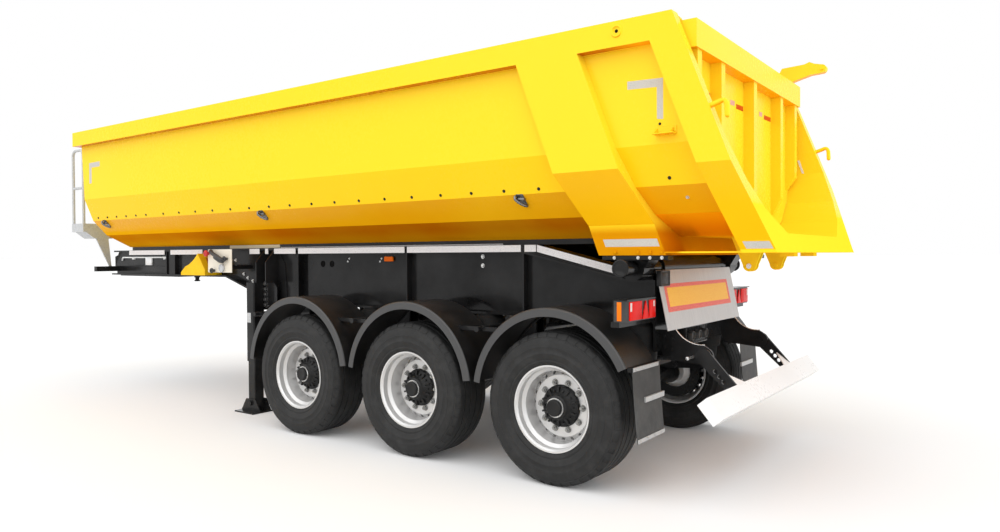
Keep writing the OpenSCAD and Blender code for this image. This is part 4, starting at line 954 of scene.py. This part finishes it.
# side marker, and cable holes as near-black discs of painted shade, with their grommets
webForm = {
    "marker": ((0.785, -0.6703, 1.519), (0.890, -0.6463, 1.563)), "holes": ((-0.053, 1.495), (0.074, 1.495)),
    "holeShade": (0.027, -0.640, -0.6475), "grommet": (0.031, 0.004), "grommetY": -0.6465}
onBothSides(startBox("sideMarker", *webForm["marker"], 0.007, 3), "lamp", lensAmber)
places = [(x, webForm["grommetY"], z) for x, z in webForm["holes"]]
grommet = startRing("grommet", *webForm["grommet"], places[0])
onBothSides(rowOf("webGrommets", grommet, places), "rubber", holeDark)
# each hole: a near-black disc of painted shade
plug = rodAcross("webHoleShade", webForm["holes"][0], webForm["holeShade"], 32, 0.002)
onBothSides(rowOf("webHoleShades", plug, places), "rubber", holeDark)

# bar for hoses with its hook and clips, and the bracket on the neck
hoseForm = {
    "bar": ((-3.755, -0.668, 1.556), (-2.560, -0.648, 1.572)), "clipGap": 0.700,
    "clip": ((-3.520, -0.672, 1.540), (-3.480, -0.646, 1.556)),
    "bracket": ((-3.225, -0.664, 1.470), (-3.090, -0.646, 1.570)),
    "hook": ((-3.745, -0.658, 1.564), (-3.765, -0.660, 1.550), (-3.768, -0.662, 1.520))}
clip = startBox("hoseClip", *hoseForm["clip"], 0.003)
hoseBar = joined("hoseBar", [
    startBox("hoseBar", *hoseForm["bar"], 0.003, 2), bentWire("hoseHook", hoseForm["hook"], 0.007), clip,
    copyOf(clip, (hoseForm["clipGap"], 0, 0)),
    dish(startBox("hoseBracket", *hoseForm["bracket"]), left, 0.022, -0.005, 0.002)])
done(hoseBar, "white_paint")

# cheek plates on the neck's nose, and a bare label on the landing leg
noseCheek = ((-3.972, 1.446), (-3.972, 1.575), (-3.720, 1.648), (-3.620, 1.648), (-3.620, 1.360), (-3.800, 1.360))
legLabel = ((-0.965, 1.000), (-0.900, 1.000), (-0.900, 0.902), (-0.965, 0.902))
onBothSides(roundEdges(sidePlate("noseCheek", -0.6465, noseCheek, 0.008), 0.001), "chassis_paint")
done(sidePlate("legLabel", -0.8572, legLabel, 0.0012), "galvanised")
print("beams dressed")

# Bolts on both sides

wallBolts = {"z": 2.030, "xs": [-3.417 + 0.2085 * i for i in range(6)] + [-2.03 + 0.2975 * i for i in range(17)]}
foldOut = Vector((0, -1, -slopeOf(wallFold)))
# name, body, place across, (along, up) of each bolt, radius and height, slot, material, where they face
boltRows = (
    ("wallBolts", "tub", faceY(wallFold, wallBolts["z"]), [(x, wallBolts["z"]) for x in wallBolts["xs"]],
     (0.0085, 0.006), "chassis_paint", None, foldOut),
    ("foldBolt", "tub", -1.044, [(3.782, 1.926)], (0.008, 0.008), "tub_paint", tapeGrey, offFold),
    ("skirtBolts", "tub", -1.025, [(x, 1.585) for x in (3.273, 3.438, 3.524, 3.602)], (0.012, 0.009), "tub_paint"),
    ("footBolts", "tub", -1.020, [(x, 1.549) for x in (3.262, 3.434, 3.517, 3.600)], (0.008, 0.008), "steel", boltZinc),
    ("lugPin", "tub", -0.357, [(3.943, 1.487)], (0.012, 0.008), "steel", boltZinc),
    ("webBolts", "chassis", -0.646, (
        (-1.439, 1.530), (-1.439, 1.462), (-1.300, 1.385), (-1.231, 1.345), (-1.146, 1.315), (1.881, 1.559),
        (1.881, 1.486)), (0.012, 0.010), "steel", boltZinc),
    ("webScrews", "chassis", -0.646, ((0.315, 1.545), (0.295, 1.518), (0.735, 1.545), (0.715, 1.518)),
     (0.006, 0.006), "steel", boltZinc),
    ("legBolts", "chassis", -0.727, [(-0.822, 1.292 - 0.053 * i) for i in range(5)], (0.021, 0.020), "steel", boltDark),
    ("plateBolts", "chassis", -0.620, ((3.445, 0.930), (3.445, 1.005), (3.500, 0.915), (3.500, 0.990)),
     (0.013, 0.011), "chassis_paint"))


def boltRow(name, body, y, places, size, slotName, material=None, facing=left):
    places = [(x, y, z) for x, z in places]
    bolt = boltHead(name, places[0], facing, *size)
    onBothSides(rowOf(name, bolt, places), slotName, material, body)


for row in boltRows:
    boltRow(*row)
# a larger bolt on the rear panel's fold and a smaller one above
panelBolts = [
    boltHead("panelBolt", (3.697, -1.125, 2.045), foldOut, 0.008, 0.007),
    boltHead("panelBoltUpper", (3.665, -1.195, 2.372), left, 0.006, 0.006)]
onBothSides(joined("panelBolts", panelBolts), "chassis_paint", body="tub")
print("bolts set")

# Control panel: knobs, handles and a gauge

# knobs: name, place, radius, depth, slot, material
panel = {
    "y": -0.904, "gauge": (-1.300, 1.450), "gaugeSize": (0.042, -0.904, -0.926), "knobs": (
        ("redKnob", (-1.536, 1.603), 0.034, 0.050, "lamp", knobRed),
        ("blackKnob0", (-1.220, 1.546), 0.028, 0.045, "rubber", None),
        ("blackKnob1", (-1.440, 1.424), 0.028, 0.045, "rubber", None)),
    "handle": ((-1.485, -0.906, 1.632), (-1.470, -0.938, 1.622), (-1.330, -0.945, 1.566), (-1.240, -0.940, 1.530)),
    "lowHandle": ((-1.420, -0.906, 1.575), (-1.400, -0.936, 1.562), (-1.300, -0.940, 1.520), (-1.235, -0.936, 1.512))}
y = panel["y"]
for name, place, radius, deep, slotName, material in panel["knobs"]:
    stem = rodAcross(name + "Stem", place, (radius * 0.5, y, y - deep), 20, 0.001)
    head = rodAcross(name, place, (radius, y - deep * 0.55, y - deep), 24, radius * 0.3, 3)
    done(joined(name, [head, stem]), slotName, material)
handles = [bentWire("panelHandle", panel["handle"], 0.017), bentWire("panelHandleLow", panel["lowHandle"], 0.012)]
done(joined("panelHandles", handles), "rubber")
gauge = rodAcross("panelGauge", panel["gauge"], panel["gaugeSize"], 32)
done(dish(gauge, left, 0.008, -0.006, 0.002), "galvanised")

# slot in the chock's back, a darker orange patch of painted shade: the back's lower and upper edge, then corners by
# share of the height and place across
chockForm = {
    "back": ((-1.705, 1.428), (-1.835, 1.603)), "lift": (0.0008, 0.0006),
    "corners": ((0.15, -0.778), (0.15, -0.748), (0.75, -0.748), (0.75, -0.778))}
((x0, z0), (x1, z1)), (liftX, liftZ) = chockForm["back"], chockForm["lift"]
outline = [(x0 + (x1 - x0) * share + liftX, y, z0 + (z1 - z0) * share + liftZ) for share, y in chockForm["corners"]]
done(startPlate("chockSlotShade", outline, 0.0012), "yellow_plastic", slotShadeOrange)
print("panel dressed")

# Rear lamps: lens fields on each housing

# field, start and end across from the outer side, foot above the lower rim, colour
lampForm = {
    "z": (1.147, 1.268), "y": -1.215, "x": (3.4425, 3.450), "proud": 0.0015,
    "amberX": (3.380, 3.412), "amberY": (-0.006, 0.001), "triangleX": 3.4428, "triangleY": (-0.986, -0.886, -0.936),
    "fields": (
        ("lensRedA", 0.040, 0.222, 0.0, lensRed), ("lensRedB", 0.336, 0.433, 0.0, lensRed),
        # the pale fields are painted highlights on the red lens
        ("lensHighlightA", 0.048, 0.074, 0.058, lensHighlight), ("lensHighlightB", 0.396, 0.420, 0.074, lensHighlight))}
(zLow, zHigh), (back, face), y = lampForm["z"], lampForm["x"], lampForm["y"]
for name, start, end, foot, lens in lampForm["fields"]:
    proud = lampForm["proud"] if foot else 0.0
    field = startBox(name, (back, y + start, zLow + foot), (face + proud, y + end, zHigh - foot * 0.1), 0.003, 2)
    onBothSides(field, "lamp", lens)
low, high = ((x, y + out, z) for x, out, z in zip(lampForm["amberX"], lampForm["amberY"], lampForm["z"]))
onBothSides(startBox("lensAmber", low, high, 0.003, 2), "lamp", lensAmber)
outline = [(lampForm["triangleX"], y, z) for y, z in zip(lampForm["triangleY"], (zLow, zLow, zHigh))]
triangle = roundEdges(startPlate("reflectorTriangle", outline, 0.010), 0.003, 2)
onBothSides(triangle, "lamp", lensRed)
print("lamps dressed")

# Sign board, blank, with its retro-reflective field

# patches: name, start and end across, start and end down the board as shares, lift, thickness, material
board = {
    "top": (3.434, 0, 1.462), "foot": (3.519, 0, 1.050), "patches": (
        ("signBorder", -0.665, 0.600, 0.235, 0.705, 0.0002, 0.0012, signRed),
        ("signField", -0.625, 0.560, 0.300, 0.620, 0.0014, 0.0008, signYellow))}
boardTop = Vector(board["top"])
boardRun = Vector(board["foot"]) - boardTop
boardOut = Vector((-boardRun.z, 0, boardRun.x)).normalized()
for name, y0, y1, s0, s1, lift, thick, material in board["patches"]:
    outline = [boardTop - left * y + boardRun * share + boardOut * lift
               for y, share in ((y0, s0), (y0, s1), (y1, s1), (y1, s0))]
    done(startPlate(name, outline, thick), "lamp", material)

# work lamp, and the socket panel under the board
workForm = {
    "case": ((3.438, -0.742, 1.352), (3.474, -0.592, 1.461)), "glass": ((3.464, -0.730, 1.364), (3.470, -0.604, 1.449))}
done(dish(startBox("workLamp", *workForm["case"]), rearward, 0.010, -0.006, 0.006, 2), "plastic")
done(startBox("workGlass", *workForm["glass"], 0.002, 2), "lamp", hubBlack)
socketForm = {
    "panel": ((3.4155, -0.298, 0.905), (3.470, 0.126, 1.040)), "radius": 0.034,
    "cap": ((3.461, -0.220, 0.972), (3.498, -0.220, 0.972)), "ys": (-0.220, -0.085, 0.045)}
sockets = dish(startBox("socketPanel", *socketForm["panel"]), rearward, 0.012, -0.008, 0.004, 2)
done(sockets, "chassis_paint")
cap = startRod("socketCap", socketForm["radius"], *socketForm["cap"], 28)
dish(cap, rearward, 0.008, -0.010, 0.003, 2)
done(rowOf("socketCaps", cap, [(0, y, 0) for y in socketForm["ys"]]), "rubber")

# hinge: covers of the pin's ends and the tube round it
hingeForm = {"place": (3.345, 1.478), "cover": (0.060, -1.0845, -1.104), "tube": (0.080, -0.5645, 0.5645)}
cover = rodAcross("pinCover", hingeForm["place"], hingeForm["cover"], 40)
onBothSides(dish(cover, left, 0.014, -0.005, 0.004, 2), "chassis_paint")
tube = rodAcross("hingeTube", hingeForm["place"], hingeForm["tube"], 40)
insetAndPush(tube, lambda c, n: abs(n.y) > 0.9, 0.012, -0.010)
done(roundEdges(tube, 0.002), "chassis_paint")

# underrun plates: lock pin, and the bright edge of their cut-out as an arc in degrees
plateForm = {"pin": (3.650, 0.873), "cut": (3.700, -0.611, 1.165), "radius": 0.21, "arc": (212, 284, 6)}
lockPin = rodAcross("lockPin", plateForm["pin"], (0.009, -0.6205, -0.725), 18, 0.002)
head = rodAcross("lockPinHead", plateForm["pin"], (0.013, -0.715, -0.732), 18, 0.005, 2)
onBothSides(joined("lockPin", [lockPin, head]), "steel", boltZinc)
(x, y, z), radius = plateForm["cut"], plateForm["radius"]
arc = [(x + radius * math.cos(a), y, z + radius * math.sin(a)) for a in inRadians(range(*plateForm["arc"]))]
onBothSides(bentWire("cutEdge", arc, 0.004), "steel", boltZinc)
print("board dressed")

# Mud flaps: rubber sheets that swing back below their tube, with edge strips, screws and a strap

flapForm = {
    "y": (-1.230, -0.825), "front": 3.4914, "thick": 0.0058, "topZ": 0.8597, "holdZ": 0.843, "freeZ": 0.826,
    "footZ": 0.380, "step": 0.0495, "swing": 0.034, "bend": 1.3, "gap": 0.0004, "strip": 0.026, "stripThick": 0.004,
    "topStrip": 0.832, "screwYs": (-1.195, -1.090, -0.985, -0.880), "screwSize": (0.006, 0.004),
    "strapY": (-1.090, -0.800), "strapZ": (0.622, 0.656), "strapX": (-0.002, 0.012)}
outer, inner = flapForm["y"]


def flapX(z):
    share = max(0.0, (flapForm["freeZ"] - z) / (flapForm["freeZ"] - flapForm["footZ"]))
    return flapForm["front"] + flapForm["swing"] * share ** flapForm["bend"]


def behindFlap(z):
    return flapX(z) + flapForm["thick"] + flapForm["gap"]


heights = [flapForm["topZ"], flapForm["holdZ"]] + [flapForm["freeZ"] - flapForm["step"] * i for i in range(10)]
edge = [(flapX(z), z) for z in heights]
flap = crossPlate("mudFlap", edge + [(x + flapForm["thick"], z) for x, z in reversed(edge)], outer, inner)
roundEdges(flap, 0.0015)
flaps = joined("mudFlaps", [flap, otherSide("mudFlapRight", flap)])
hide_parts("mud_flaps")
done(flaps, "rubber")

made = []
footStrip = flapForm["footZ"] + 0.004
# foot of the strip, its place along, and how far it ends before the flap's inner edge
for z, x, short in ((flapForm["topStrip"], behindFlap(flapForm["topZ"]), 0.028),
                    (footStrip, behindFlap(footStrip + flapForm["strip"] / 2), 0.002)):
    face, high = x + flapForm["stripThick"], flapForm["strip"]
    made.append(startBox("flapStrip", (x, outer + 0.002, z), (face, inner - short, z + high), 0.001))
    places = [(face, y, z + high / 2) for y in flapForm["screwYs"]]
    screw = boltHead("flapScrew", places[0], rearward, *flapForm["screwSize"])
    made.append(rowOf("flapScrews", screw, places))
x = behindFlap(0.650)
low, high = ((x + out, y, z) for out, y, z in zip(flapForm["strapX"], flapForm["strapY"], flapForm["strapZ"]))
made.append(startBox("flapStrap", low, high, 0.001))
onBothSides(joined("flapStrips", made), "aluminium")
print("flaps dressed")
